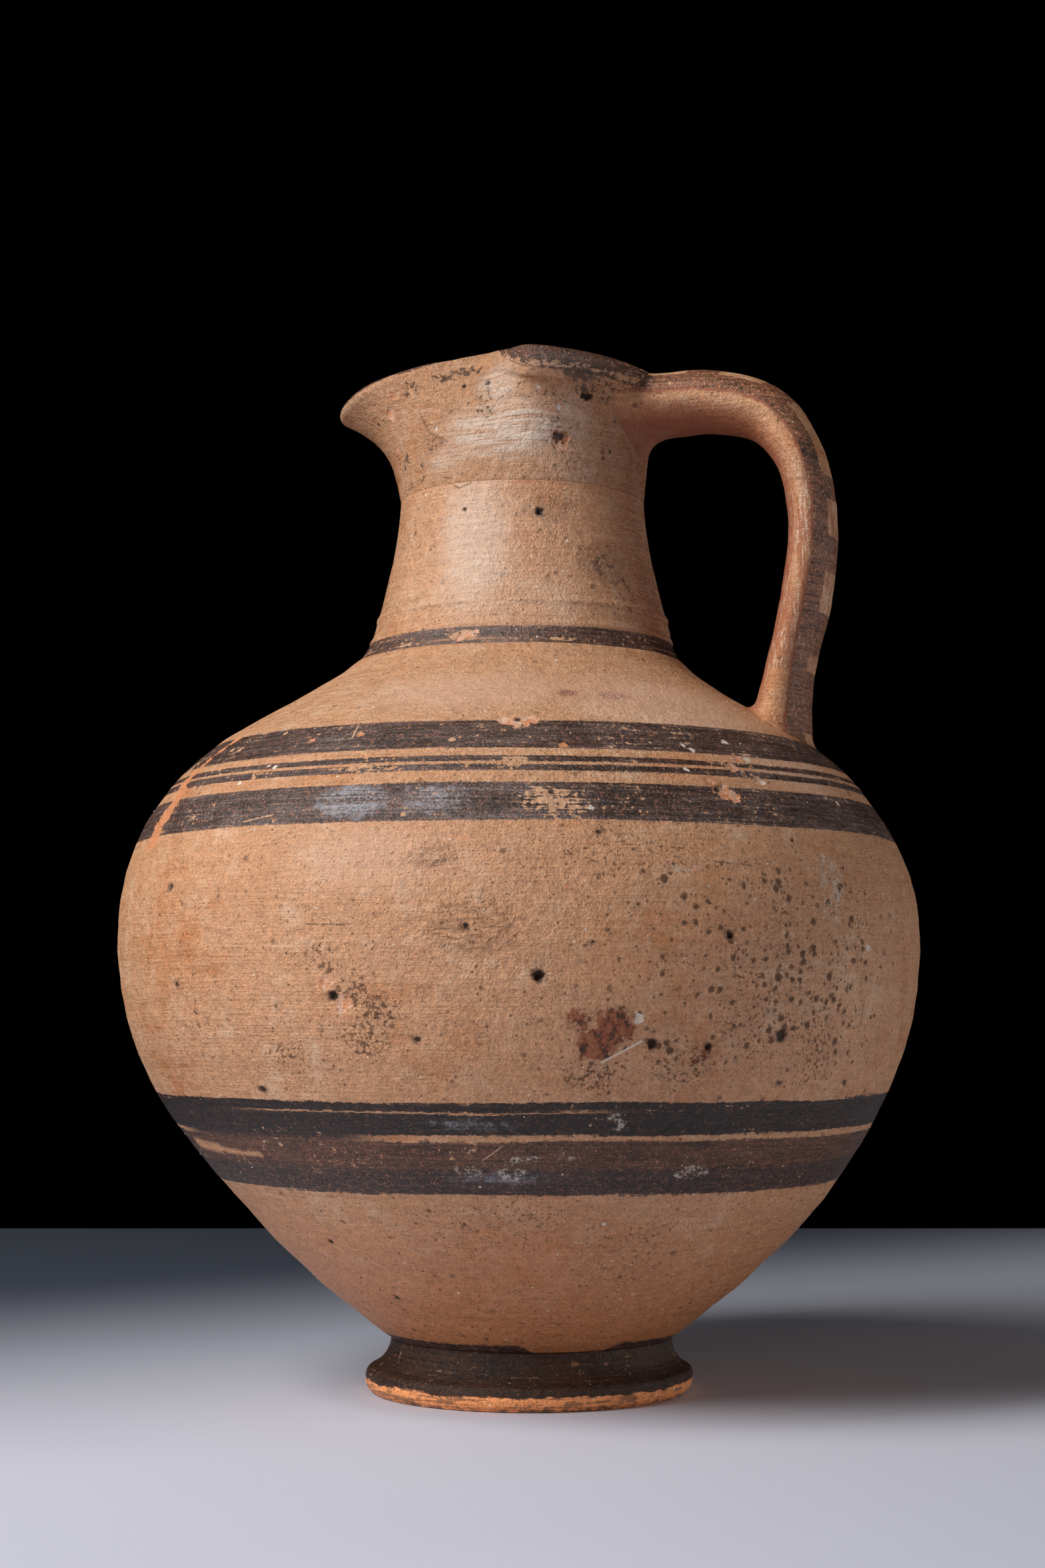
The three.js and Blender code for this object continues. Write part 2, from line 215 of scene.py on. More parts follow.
# Heights, and how far the jug's middle lies to the right of its axis there
HEIGHTS_OF_LEAN = np.array([0, 14, 50, 57, 67, 73, 92, 130, 150, 181, 188, 200]) * MM
LEAN = np.array([1.5, 2.4, 2.4, 1.6, 0.9, 0.2, -0.6, -1.1, -2.0, -2.0, -1.2, 0.0]) * MM


def bezier(start, first, second, end, share):
    """Points on a cubic curve."""
    rest = 1 - share
    near_start, near_end = rest**3 * start + 3 * rest**2 * share * first, share**3 * end
    return near_start + 3 * rest * share**2 * second + near_end


def curve_through(stations):
    """Cubic curves through stations of radius, height and lean from upright in degrees."""
    points = []
    for (radius_a, height_a, lean_a), (radius_b, height_b, lean_b) in zip(stations, stations[1:]):
        start, end = np.array([radius_a, height_a]), np.array([radius_b, height_b])
        reach = CURVE_REACH * np.linalg.norm(end - start)
        aim_a, aim_b = (np.array([math.sin(a), math.cos(a)]) for a in np.radians([lean_a, lean_b]))
        share = np.linspace(0, 1, DENSE)[:, None]
        points.append(bezier(start, start + aim_a * reach, end - aim_b * reach, end, share))
    return evenly(np.vstack(points), DENSE * len(points))


def evenly(points, count):
    """The same line with its points a like distance apart."""
    step = np.linalg.norm(np.diff(points, axis=0), axis=1)
    kept = np.r_[True, step > SAME * MM]
    points, length = points[kept], np.r_[0, np.cumsum(step[kept[1:]])]
    wanted = np.linspace(0, length[-1], count)
    return np.stack([np.interp(wanted, length, column) for column in points.T], axis=1)


def offset(points, distance):
    """The line moved square to its run, outwards where the distance is positive."""
    along = np.gradient(points, axis=0)
    along /= np.linalg.norm(along, axis=1)[:, None]
    return points + np.stack([along[:, 1], -along[:, 0]], axis=1) * distance


def swelling(height, centre, width):
    """1 at the centre, fading to 0 over the width."""
    return np.exp(-(((height - centre) / width) ** 2))


def body_outline():
    """Outer wall of the body, from the foot to the neck."""
    shape = jug("shape")
    return curve_through([
        (shape.foot_waist_radius - TUCK, BODY_LOW.z, 54),
        (shape.lower_radius, shape.lower_height, 34.5),
        (shape.belly_radius, shape.belly_height, 0),
        (shape.shoulder_radius, shape.shoulder_height, -43),
        (shape.neck_base_radius + TUCK, BODY_HIGH.z, -47),
    ])


def neck_outline():
    """Outer wall of the neck, with its two ridges and the joint line under the mouth."""
    shape = jug("shape")
    line = curve_through([
        (shape.neck_base_radius, NECK_LOW.z, -38),
        (shape.neck_flare_radius, NECK_LOW.z + shape.neck_flare_rise, -14),
        (shape.neck_top_radius, NECK_HIGH.z, -3),
    ])
    ridges = sum(rise * swelling(line[:, 1], height, RIDGE_WIDTH) for height, rise in NECK_RIDGES)
    return line + np.stack([RIDGE_RISE * ridges, 0 * ridges], axis=1)


def handmade(points, heights=HEIGHTS_OF_LEAN, lean=LEAN):
    """The points, moved by the jug's slight lean at their heights."""
    turn = jug("stage").camera_turn
    shift = np.interp(points[:, 2], heights, lean)
    moved = points.copy()
    moved[:, 0] += shift * math.cos(turn)
    moved[:, 1] += shift * math.sin(turn)
    return moved


# Meshes

# How far past its radius a mark's colour may reach, and how far past its half size a patch does
SPREAD = 1.8
PATCH_SPREAD = 1.5
# The smallest of the strewn marks, as a share of the largest
SMALLEST = 0.35
# Reach round a mark of each splitting of its faces, over its radius, and what is added to it
SPLIT_REACH = (1.8, 1.4)
SPLIT_MARGIN = 0.6 * MM
# Size of the lumps in a mark's edge over its radius, and the least radius they leave
EDGE_LUMPS, LEAST_EDGE = 0.8, 0.3
# From where the wall is looked for
OUTSIDE = 0.3


def new_object(name, data):
    """A new object in the scene."""
    made = bpy.data.objects.new(name, data)
    bpy.context.scene.collection.objects.link(made)
    return made


def skin(name, rings, looped=False, poles=(None, None)):
    """A smooth closed mesh over rings of points, joined end to end or closed by poles."""
    count = len(rings[0])
    points = np.vstack(rings)
    spans = len(rings) if looped else len(rings) - 1
    here = np.arange(spans)[:, None] * count
    beyond = (np.arange(spans) + 1)[:, None] % len(rings) * count
    i = np.arange(count)[None, :]
    k = (i + 1) % count
    faces = np.stack([here + i, here + k, beyond + k, beyond + i], axis=-1).reshape(-1, 4).tolist()
    first, last = poles
    ring = np.arange(count)
    if first is not None:
        faces += [[len(points), (j + 1) % count, j] for j in ring.tolist()]
        points = np.vstack([points, first])
    if last is not None:
        start = (len(rings) - 1) * count
        faces += [[start + j, start + (j + 1) % count, len(points)] for j in ring.tolist()]
        points = np.vstack([points, last])
    mesh = bpy.data.meshes.new(name)
    mesh.from_pydata(points.tolist(), [], faces)
    mesh.validate()
    mesh.shade_smooth()
    return new_object(name, mesh)


def turned(name, profile, around):
    """A mesh turned round the axis. A profile end on the axis becomes a pole."""
    angle = np.linspace(0, 2 * math.pi, around, endpoint=False)
    poles = [
        handmade(np.array([[0.0, 0.0, end[1]]])) if end[0] < SAME else None
        for end in (profile[0], profile[-1])]
    rings = [
        handmade(np.stack([r * np.cos(angle), r * np.sin(angle), np.full(around, z)], axis=1))
        for r, z in profile if r >= SAME]
    return skin(name, rings, looped=poles[0] is None, poles=poles)


def points_of(mesh):
    """The mesh's points as an array."""
    flat = np.empty(len(mesh.vertices) * 3)
    mesh.vertices.foreach_get("co", flat)
    return flat.reshape(-1, 3)


def move_points(mesh, points):
    """Puts the mesh's points at new places."""
    mesh.vertices.foreach_set("co", points.ravel())
    mesh.update()


def normals_of(mesh):
    """The normal at each of the mesh's points."""
    flat = np.empty(len(mesh.vertices) * 3)
    mesh.vertex_normals.foreach_get("vector", flat)
    return flat.reshape(-1, 3)


def surface_of(piece):
    """A tree for finding places on a finished mesh."""
    graph = bmesh.new()
    graph.from_mesh(piece.data)
    tree = BVHTree.FromBMesh(graph)
    graph.free()
    return tree


def on_wall(surface, angle, height):
    """The place on the outer wall at an angle in degrees and a height in millimetres."""
    turn = math.radians(angle)
    out = Vector((math.cos(turn), math.sin(turn), 0))
    hit = surface.ray_cast(out * OUTSIDE + Vector((0, 0, height * MM)), -out)[0]
    if hit is None:
        raise RuntimeError(f"no wall at {angle} degrees, height {height} mm")
    return hit


def marked(surface, rows, kind, ragged=0.6, flat=2):
    """Marks of one kind, found on the wall."""
    return [
        {"place": on_wall(surface, angle, height), "radius": radius, "depth": depth,
         "kind": kind, "ragged": ragged, "flat": flat}
        for angle, height, radius, depth in rows
    ]


def strewn(surface, seed, kind, count, heights, likely, largest, deepest):
    """Small marks strewn by chance, more of them where the place is likely."""
    draw = np.random.default_rng(seed)
    rows = []
    while len(rows) < count:
        angle, height = draw.uniform(-180, 180), draw.uniform(*heights)
        if draw.random() < likely(angle, height):
            share = SMALLEST + (1 - SMALLEST) * draw.random() ** 2
            rows.append((angle, height, largest * share, deepest * share))
    return marked(surface, rows, kind)


def refine(piece, marks):
    """Splits the faces round each mark twice, so that its edge is finer than the wall."""
    graph = bmesh.new()
    graph.from_mesh(piece.data)
    graph.verts.ensure_lookup_table()
    for growth in SPLIT_REACH:
        points = np.array([v.co[:] for v in graph.verts])
        near = np.zeros(len(points), bool)
        for mark in marks:
            reach = mark["radius"] * MM * growth + SPLIT_MARGIN
            near |= ((points - np.array(mark["place"])) ** 2).sum(axis=1) < reach**2
        edges = [e for e in graph.edges if near[e.verts[0].index] and near[e.verts[1].index]]
        bmesh.ops.subdivide_edges(graph, edges=edges, cuts=1, use_grid_fill=True)
        graph.verts.index_update()
        graph.verts.ensure_lookup_table()
    graph.to_mesh(piece.data)
    graph.free()
    piece.data.shade_smooth()


def keep_values(mesh, name, values):
    """Stores one number for each point, for the finish to read."""
    attribute = mesh.attributes.new(name, "FLOAT", "POINT")
    attribute.data.foreach_set("value", np.asarray(values, np.float32))


def leave_marks(piece, marks):
    """Sinks marks into the wall, and keeps how near each point is to one of each kind."""
    refine(piece, marks)
    mesh = piece.data
    points, normals = points_of(mesh), normals_of(mesh)
    sunk = np.zeros(len(points))
    near = {}
    for number, mark in enumerate(marks):
        radius = mark["radius"] * MM
        away = np.linalg.norm(points - np.array(mark["place"]), axis=1)
        field = near.setdefault(mark["kind"], np.zeros(len(points)))
        for index in np.nonzero(away < radius * SPREAD)[0]:
            spot = Vector(points[index]) / (radius * EDGE_LUMPS) + Vector((number, 0, 0))
            edge = max(1 + mark["ragged"] * noise.fractal(spot, 0.8, 2.0, 3), LEAST_EDGE)
            share = away[index] / (radius * edge)
            field[index] = max(field[index], 1 - share / SPREAD)
            if share < 1:
                sunk[index] = max(sunk[index], (1 - share ** mark["flat"]) * mark["depth"] * MM)
    move_points(mesh, points - normals * sunk[:, None])
    for kind, field in near.items():
        keep_values(mesh, kind, field)


def leave_patch(piece, name, surface, rows):
    """Keeps how far each point lies in the soft patches of a name."""
    mesh = piece.data
    points, normals = points_of(mesh), normals_of(mesh)
    field = np.zeros(len(points))
    for angle, height, half_width, half_height, strength in rows:
        turn = math.radians(angle)
        out = np.array([math.cos(turn), math.sin(turn), 0])
        along = np.array([-math.sin(turn), math.cos(turn), 0])
        apart = (points - np.array(on_wall(surface, angle, height))) / MM
        reach = np.hypot(apart @ along / half_width, apart[:, 2] / half_height)
        inside = np.clip(PATCH_SPREAD - reach, 0, 1) * strength
        field = np.maximum(field, inside * (normals @ out > 0))
    keep_values(mesh, name, field)


def wear(piece, marks, small_marks, patches, first_seed):
    """Leaves the marks of use on a member, and gives back its wall as it was before them."""
    surface = surface_of(piece)
    found = []
    for kind, ragged, flat, rows in marks:
        found += marked(surface, rows, kind, ragged, flat)
    for seed, row in enumerate(small_marks, first_seed):
        found += strewn(surface, seed, *row)
    leave_marks(piece, found)
    for name, rows in patches.items():
        leave_patch(piece, name, surface, rows)
    return surface


# Node trees


class Wire:
    """A node's output that takes part in plain arithmetic."""

    def __init__(self, graph, socket):
        self.graph = graph
        self.socket = socket

    def __add__(self, other):
        return self.graph.math("ADD", self, other)

    def __sub__(self, other):
        return self.graph.math("SUBTRACT", self, other)

    def __rsub__(self, other):
        return self.graph.math("SUBTRACT", other, self)

    def __mul__(self, other):
        return self.graph.math("MULTIPLY", self, other)

    def __truediv__(self, other):
        return self.graph.math("DIVIDE", self, other)

    def __rtruediv__(self, other):
        return self.graph.math("DIVIDE", other, self)

    __radd__ = __add__
    __rmul__ = __mul__


class Graph:
    """A node tree under construction."""

    def __init__(self, tree):
        self.tree = tree

    def node(self, kind, inputs=None, **settings):
        """A new node, set up and fed."""
        node = self.tree.nodes.new(kind)
        for key, value in settings.items():
            setattr(node, key, value)
        for key, value in (inputs or {}).items():
            self.feed(node.inputs[key], value)
        return node

    def feed(self, socket, value):
        """Links a wire to a socket, or sets the socket's value."""
        if isinstance(value, Wire):
            self.tree.links.new(value.socket, socket)
        elif isinstance(value, bpy.types.NodeSocket):
            self.tree.links.new(value, socket)
        else:
            socket.default_value = value

    def wire(self, socket):
        return Wire(self, socket)

    def math(self, operation, a, b=0.0):
        """Arithmetic on one or two values."""
        node = self.node("ShaderNodeMath", {0: a, 1: b}, operation=operation)
        return self.wire(node.outputs[0])

    def vector(self, operation, a, b=None, scale=None):
        """Arithmetic on vectors. A distance, length or dot product comes back as a value."""
        inputs = {0: a}
        if b is not None:
            inputs[1] = b
        if scale is not None:
            inputs["Scale"] = scale
        node = self.node("ShaderNodeVectorMath", inputs, operation=operation)
        single = operation in ("DISTANCE", "LENGTH", "DOT_PRODUCT")
        return self.wire(node.outputs["Value" if single else "Vector"])


def start_tree(name, numbers, seed_kind):
    """A new tree that takes a mesh, numbers, a seed and a material, and what it is given."""
    tree = bpy.data.node_groups.new(name, "GeometryNodeTree")
    inputs = [("Geometry", "Geometry")] + [(number, "Float") for number in numbers]
    for label, kind in inputs + [("Seed", seed_kind), ("Material", "Material")]:
        tree.interface.new_socket(label, in_out="INPUT", socket_type=f"NodeSocket{kind}")
    tree.interface.new_socket("Geometry", in_out="OUTPUT", socket_type="NodeSocketGeometry")
    graph = Graph(tree)
    return graph, graph.node("NodeGroupInput").outputs


def end_tree(graph, made, material):
    """Ends a tree with plain geometry in one material."""
    real = graph.node("GeometryNodeRealizeInstances", {0: made})
    shown = graph.node(
        "GeometryNodeSetMaterial", {"Geometry": real.outputs[0], "Material": material})
    graph.node("NodeGroupOutput", {0: shown.outputs[0]})
    return graph.tree


def thrown_tree():
    """Wheel ridges and handmade unevenness, raised along the normals of a wall."""
    numbers = ("Ridge Depth", "Ridge Pitch", "Unevenness", "Uneven Size")
    graph, given = start_tree("thrown_wall", numbers, "Float")
    depth, pitch, unevenness, uneven_size, seed = (
        graph.wire(given[name]) for name in numbers + ("Seed",))
    position = graph.node("GeometryNodeInputPosition").outputs[0]
    height = graph.wire(graph.node("ShaderNodeSeparateXYZ", {0: position}).outputs["Z"])
    ridge = graph.node(
        "ShaderNodeTexNoise",
        {"W": height / pitch + seed, "Scale": 1.0, "Detail": 1.5, "Roughness": 0.4},
        noise_dimensions="1D")
    scaled = graph.vector("SCALE", position, scale=1.0 / uneven_size)
    swell = graph.node(
        "ShaderNodeTexNoise",
        {"Vector": scaled, "W": seed, "Scale": 1.0, "Detail": 4.0, "Roughness": 0.52},
        noise_dimensions="4D")
    raised = (graph.wire(ridge.outputs[0]) - 0.5) * depth * 2.0
    uneven = (graph.wire(swell.outputs[0]) - 0.5) * unevenness * 2.0
    normal = graph.node("GeometryNodeInputNormal").outputs[0]
    push = graph.vector("SCALE", normal, scale=raised + uneven)
    moved = graph.node("GeometryNodeSetPosition", {"Geometry": given["Geometry"], "Offset": push})
    return end_tree(graph, moved.outputs[0], given["Material"])


def grain_tree():
    """Small grains scattered over a wall and half sunk in it."""
    graph, given = start_tree("temper_grains", ("Density", "Radius"), "Int")
    scatter = graph.node(
        "GeometryNodeDistributePointsOnFaces",
        {"Mesh": given["Geometry"], "Density": given["Density"], "Seed": given["Seed"]})
    grain = graph.node("GeometryNodeMeshIcoSphere", {"Radius": given["Radius"], "Subdivisions": 1})
    stretch = graph.node(
        "FunctionNodeRandomValue", {0: (0.4, 0.4, 0.25), 1: (1.0, 0.8, 0.5)},
        data_type="FLOAT_VECTOR")
    grains = graph.node(
        "GeometryNodeInstanceOnPoints",
        {"Points": scatter.outputs["Points"], "Instance": grain.outputs[0],
         "Rotation": scatter.outputs["Rotation"], "Scale": stretch.outputs[0]})
    return end_tree(graph, grains.outputs[0], given["Material"])


def run_tree(piece, tree, values):
    """Gives the piece the mesh that the tree makes of it."""
    modifier = piece.modifiers.new(tree.name, "NODES")
    modifier.node_group = tree
    for item in tree.interface.items_tree:
        if item.in_out == "INPUT" and item.name in values:
            modifier[item.identifier] = values[item.name]
    bpy.context.view_layer.update()
    depsgraph = bpy.context.evaluated_depsgraph_get()
    made = bpy.data.meshes.new_from_object(piece.evaluated_get(depsgraph), depsgraph=depsgraph)
    piece.modifiers.clear()
    before = piece.data
    piece.data = made
    bpy.data.meshes.remove(before)
    made.name = piece.name


def blank(name):
    """The material of that name, made if it isn't there yet."""
    return bpy.data.materials.get(name) or bpy.data.materials.new(name)


def throw(piece, finish, seed, calm=1.0):
    """Runs the wheel over a turned piece, and gives it a finish by name."""
    hand = jug("hand")
    tree = bpy.data.node_groups.get("thrown_wall") or thrown_tree()
    run_tree(piece, tree, {
        "Ridge Depth": hand.ridge_depth * calm, "Ridge Pitch": hand.ridge_pitch,
        "Unevenness": hand.unevenness * calm, "Uneven Size": hand.uneven_size,
        "Seed": float(hand.seed + seed), "Material": blank(finish)})


# Finishes: every pattern is worked out in millimetres of the jug's own frame


class Finish(Graph):
    """A material under construction, with its colour, relief and roughness so far."""

    def __init__(self, name):
        self.material = blank(name)
        self.material.use_nodes = True
        super().__init__(self.material.node_tree)
        self.shade = self.relief = self.gloss = None
        here = self.node("ShaderNodeTexCoord").outputs["Object"]
        self.place = self.vector("SCALE", here, scale=1 / MM)
        apart = self.node("ShaderNodeSeparateXYZ", {0: self.place}).outputs
        self.x, self.y, self.z = (self.wire(out) for out in apart)
        self.angle = self.math("ARCTAN2", self.y, self.x) * (180 / math.pi)
        self.ragged = self.noise(2.2, detail=4, roughness=0.65, seed=3) - 0.5
        self.crumbly = self.noise(0.7, detail=3, roughness=0.7, seed=4) - 0.5

    def noise(self, size, detail=2.0, roughness=0.5, stretch=(1, 1, 1), seed=0, distortion=0.0):
        """Soft noise from 0 to 1, with lumps of about that size, longer where stretch is over 1."""
        placed = self.node("ShaderNodeMapping", {
            "Vector": self.place, "Location": (seed * 7.3, seed * 3.1, seed),
            "Scale": [1 / (size * s) for s in stretch]})
        node = self.node("ShaderNodeTexNoise", {
            "Vector": placed.outputs[0], "Scale": 1.0, "Detail": detail, "Roughness": roughness,
            "Distortion": distortion})
        return self.wire(node.outputs[0])

    def specks(self, spacing, largest, share, seed=0, where=1.0, ragged=0.5):
        """Ragged dots of random size: mm between them, largest radius, share of places taken."""
        placed = self.node("ShaderNodeMapping", {
            "Vector": self.place, "Location": (seed * 5.7, seed, seed * 2.9),
            "Scale": [1 / spacing] * 3})
        node = self.node("ShaderNodeTexVoronoi", {"Vector": placed.outputs[0], "Scale": 1.0})
        drawn = self.node("ShaderNodeSeparateColor", {0: node.outputs["Color"]})
        chance = self.wire(drawn.outputs[0])
        full = largest / spacing
        radius = ((chance - (1 - share)) / share + where - 1.0) * full
        away = self.wire(node.outputs["Distance"]) - radius + self.crumbly * (ragged * full)
        return self.fade(away, 0.10 * full, -0.25 * full)

    def fade(self, value, start, end):
        """0 at the start and 1 at the end, eased."""
        node = self.node("ShaderNodeMapRange", {"Value": value, "From Min": start, "From Max": end},
                         interpolation_type="SMOOTHSTEP")
        return self.wire(node.outputs["Result"])

    def window(self, value, low, high, soft):
        """1 between two limits."""
        return self.fade(value, low - soft, low + soft) * self.fade(value, high + soft, high - soft)

    def bands(self, value, rows, soft):
        """1 between the lower and the upper limit of any row."""
        return self.most(*[self.window(value, low, high, soft) for low, high in rows])

    def most(self, *masks):
        """The largest of some masks."""
        result = masks[0]
        for mask in masks[1:]:
            result = self.math("MAXIMUM", result, mask)
        return result

    def ramp(self, value, stops):
        """A colour that runs through stops of place and colour."""
        node = self.node("ShaderNodeValToRGB", {0: value})
        elements = node.color_ramp.elements
        for element, (position, shade) in ((elements[0], stops[0]), (elements[1], stops[-1])):
            element.position, element.color = position, tuple(shade) + (1,)
        for position, shade in stops[1:-1]:
            elements.new(position).color = tuple(shade) + (1,)
        return self.wire(node.outputs[0])

    def levels(self, value, low, high, stops):
        """A value that runs through stops of place and level, between two ends."""
        share = (value - low) / (high - low)
        grey = self.ramp(share, [((at - low) / (high - low), (level,) * 3) for at, level in stops])
        return self.wire(self.node("ShaderNodeSeparateColor", {0: grey}).outputs[0])

    def blend(self, factor, a, b, how="MIX"):
        """Colour a, or colour b where the factor is 1."""
        full = [c if isinstance(c, Wire) else tuple(c) + (1,) for c in (a, b)]
        node = self.node("ShaderNodeMix", {0: factor, 6: full[0], 7: full[1]},
                         data_type="RGBA", blend_type=how)
        return self.wire(node.outputs[2])

    def dim(self, shade, level):
        """The colour made darker or lighter by a level round 1."""
        grey = self.node("ShaderNodeCombineColor", {0: level, 1: level, 2: level})
        return self.blend(1.0, shade, self.wire(grey.outputs[0]), "MULTIPLY")

    def lay(self, mask, shade):
        """Lays a colour over what is there, where the mask is 1."""
        self.shade = self.blend(mask, self.shade, shade)

    def kept(self, name):
        """A number stored on the mesh."""
        return self.wire(self.node("ShaderNodeAttribute", attribute_name=name).outputs["Fac"])

    def mark(self, kind, inside=0.44, rough=0.3, soft=0.03):
        """1 in the marks of a kind, with a crumbly edge."""
        near = self.kept(kind) + self.crumbly * rough
        return self.fade(near, inside - soft, inside + soft)

    def patch(self, name, rough=0.9, low=0.42, high=0.62):
        """1 in the soft patches of a name, with a ragged edge."""
        return self.fade(self.kept(name) + self.ragged * rough, low, high)

    def soft_patch(self, name, rough=0.5, high=1.0):
        """The same, fading all the way from the patch's middle."""
        return self.patch(name, rough, 0.0, high)

    def line(self, start, end, half_width, soft=0.15, ragged=0.6):
        """1 along a scratch between two places."""
        a, b = Vector(start) / MM, Vector(end) / MM
        run = b - a
        apart = self.vector("SUBTRACT", self.place, a)
        share = self.vector("DOT_PRODUCT", apart, run) / run.length_squared
        share = self.math("MINIMUM", self.math("MAXIMUM", share, 0.0), 1.0)
        away = self.vector("DISTANCE", apart, self.vector("SCALE", run, scale=share))
        return self.fade(away + self.crumbly * ragged, half_width + soft, half_width - soft)

    def lines(self, surface, rows):
        """1 along scratches on a wall: angle and height of both ends, half width and edge."""
        return self.most(*[
            self.line(on_wall(surface, *row[:2]), on_wall(surface, *row[2:4]), *row[4:])
            for row in rows])

    def close(self, glint=0.35):
        """Feeds the shader."""
        shader = self.tree.nodes["Principled BSDF"]
        shader.inputs["Specular IOR Level"].default_value = glint
        bump = self.node("ShaderNodeBump", {"Height": self.relief, "Distance": MM, "Strength": 1.0})
        self.feed(shader.inputs["Base Color"], self.shade)
        self.feed(shader.inputs["Roughness"], self.gloss)
        self.feed(shader.inputs["Normal"], bump.outputs[0])
        return self.material


def fired_clay(finish, seed=0, warm=0.0, painted_pale_sheen=0.0, spotted=0.0, rough=0.5):
    """Smoothed clay: mottling, wiping streaks, specks, bumps and pores."""
    colours = jug("colours")
    broad = finish.noise(46, detail=2, roughness=0.5, seed=seed + 1)
    mottle = finish.noise(8, detail=5, roughness=0.68, seed=seed + 2)
    wiped = finish.noise(1.1, detail=3, roughness=0.65, stretch=(14, 14, 0.5), seed=seed + 4)
    drawn = finish.noise(5.0, detail=3, roughness=0.6, stretch=(12, 12, 0.5), seed=seed + 5)
    fine = finish.noise(0.62, detail=3, roughness=0.7, seed=seed + 6)
    lumpy = finish.noise(2.4, detail=5, roughness=0.72, seed=seed + 7)
    finish.shade = finish.ramp(broad * 0.36 + mottle * 0.36 + wiped * 0.12 + drawn * 0.16, [
        (0.36, colours.clay_red), (0.47, colours.clay), (0.53, colours.clay),
        (0.61, colours.clay_pale)])
    finish.lay(warm, colours.clay_red)
    # Painted sheen: tan laid over the clay where it should look lit, on the upper shoulder, the
    # neck and the mouth.
    finish.lay(painted_pale_sheen, colours.tan)
    finish.shade = finish.dim(
        finish.shade, (fine - 0.5) * 1.5 + (lumpy - 0.5) * 0.9 + (wiped - 0.5) * 0.4 + 1.0)
    film = finish.fade(lumpy + (mottle - 0.5) * 1.2, 0.52, 0.76) * (1.0 - warm) * 0.26
    finish.lay(film, colours.tan)
    # Spots gather where the clay is asked to be spotted; their middles are darker
    gathered = spotted * (finish.fade(broad * 0.4 + mottle * 0.6, 0.44, 0.58) * 0.35 + 0.65)
    spots = {"spacing": 2.2, "largest": 1.35, "share": 0.95, "seed": seed + 3, "ragged": 1.2}
    dots = finish.most(
        finish.specks(1.7, 0.42, 0.6, seed=seed + 1) * 0.7,
        finish.specks(4.2, 0.9, 0.5, seed=seed + 2) * 0.65,
        finish.specks(1.2, 0.55, 0.8, seed=seed + 8, where=gathered, ragged=1.1) * 0.7,
        finish.specks(where=gathered, **spots) * 0.85)
    pore = finish.specks(0.95, 0.25, 0.6, seed=seed + 5)
    finish.lay(dots, colours.stain)
    finish.lay(finish.specks(where=gathered - 0.3, **spots) * 0.45, colours.soot)
    finish.lay(finish.specks(2.4, 0.36, 0.5, seed=seed + 4) * 0.7, colours.lime)
    finish.lay(finish.specks(5.5, 0.75, 0.4, seed=seed + 9) * 0.5, colours.spall_and_sheen)
    finish.lay(pore * 0.6, colours.soot)
    raised = (wiped - 0.5) * 0.32 + (drawn - 0.5) * 0.12 + (mottle - 0.5) * 0.45
    crisp = (fine - 0.5) * 0.42 + (lumpy - 0.5) * 1.15
    finish.relief = raised + crisp * rough - pore * 0.14 - dots * 0.05
    finish.gloss = finish.fade(mottle * 0.5 + wiped * 0.5, 0.36, 0.64) * 0.18 + 0.36 + dots * 0.4


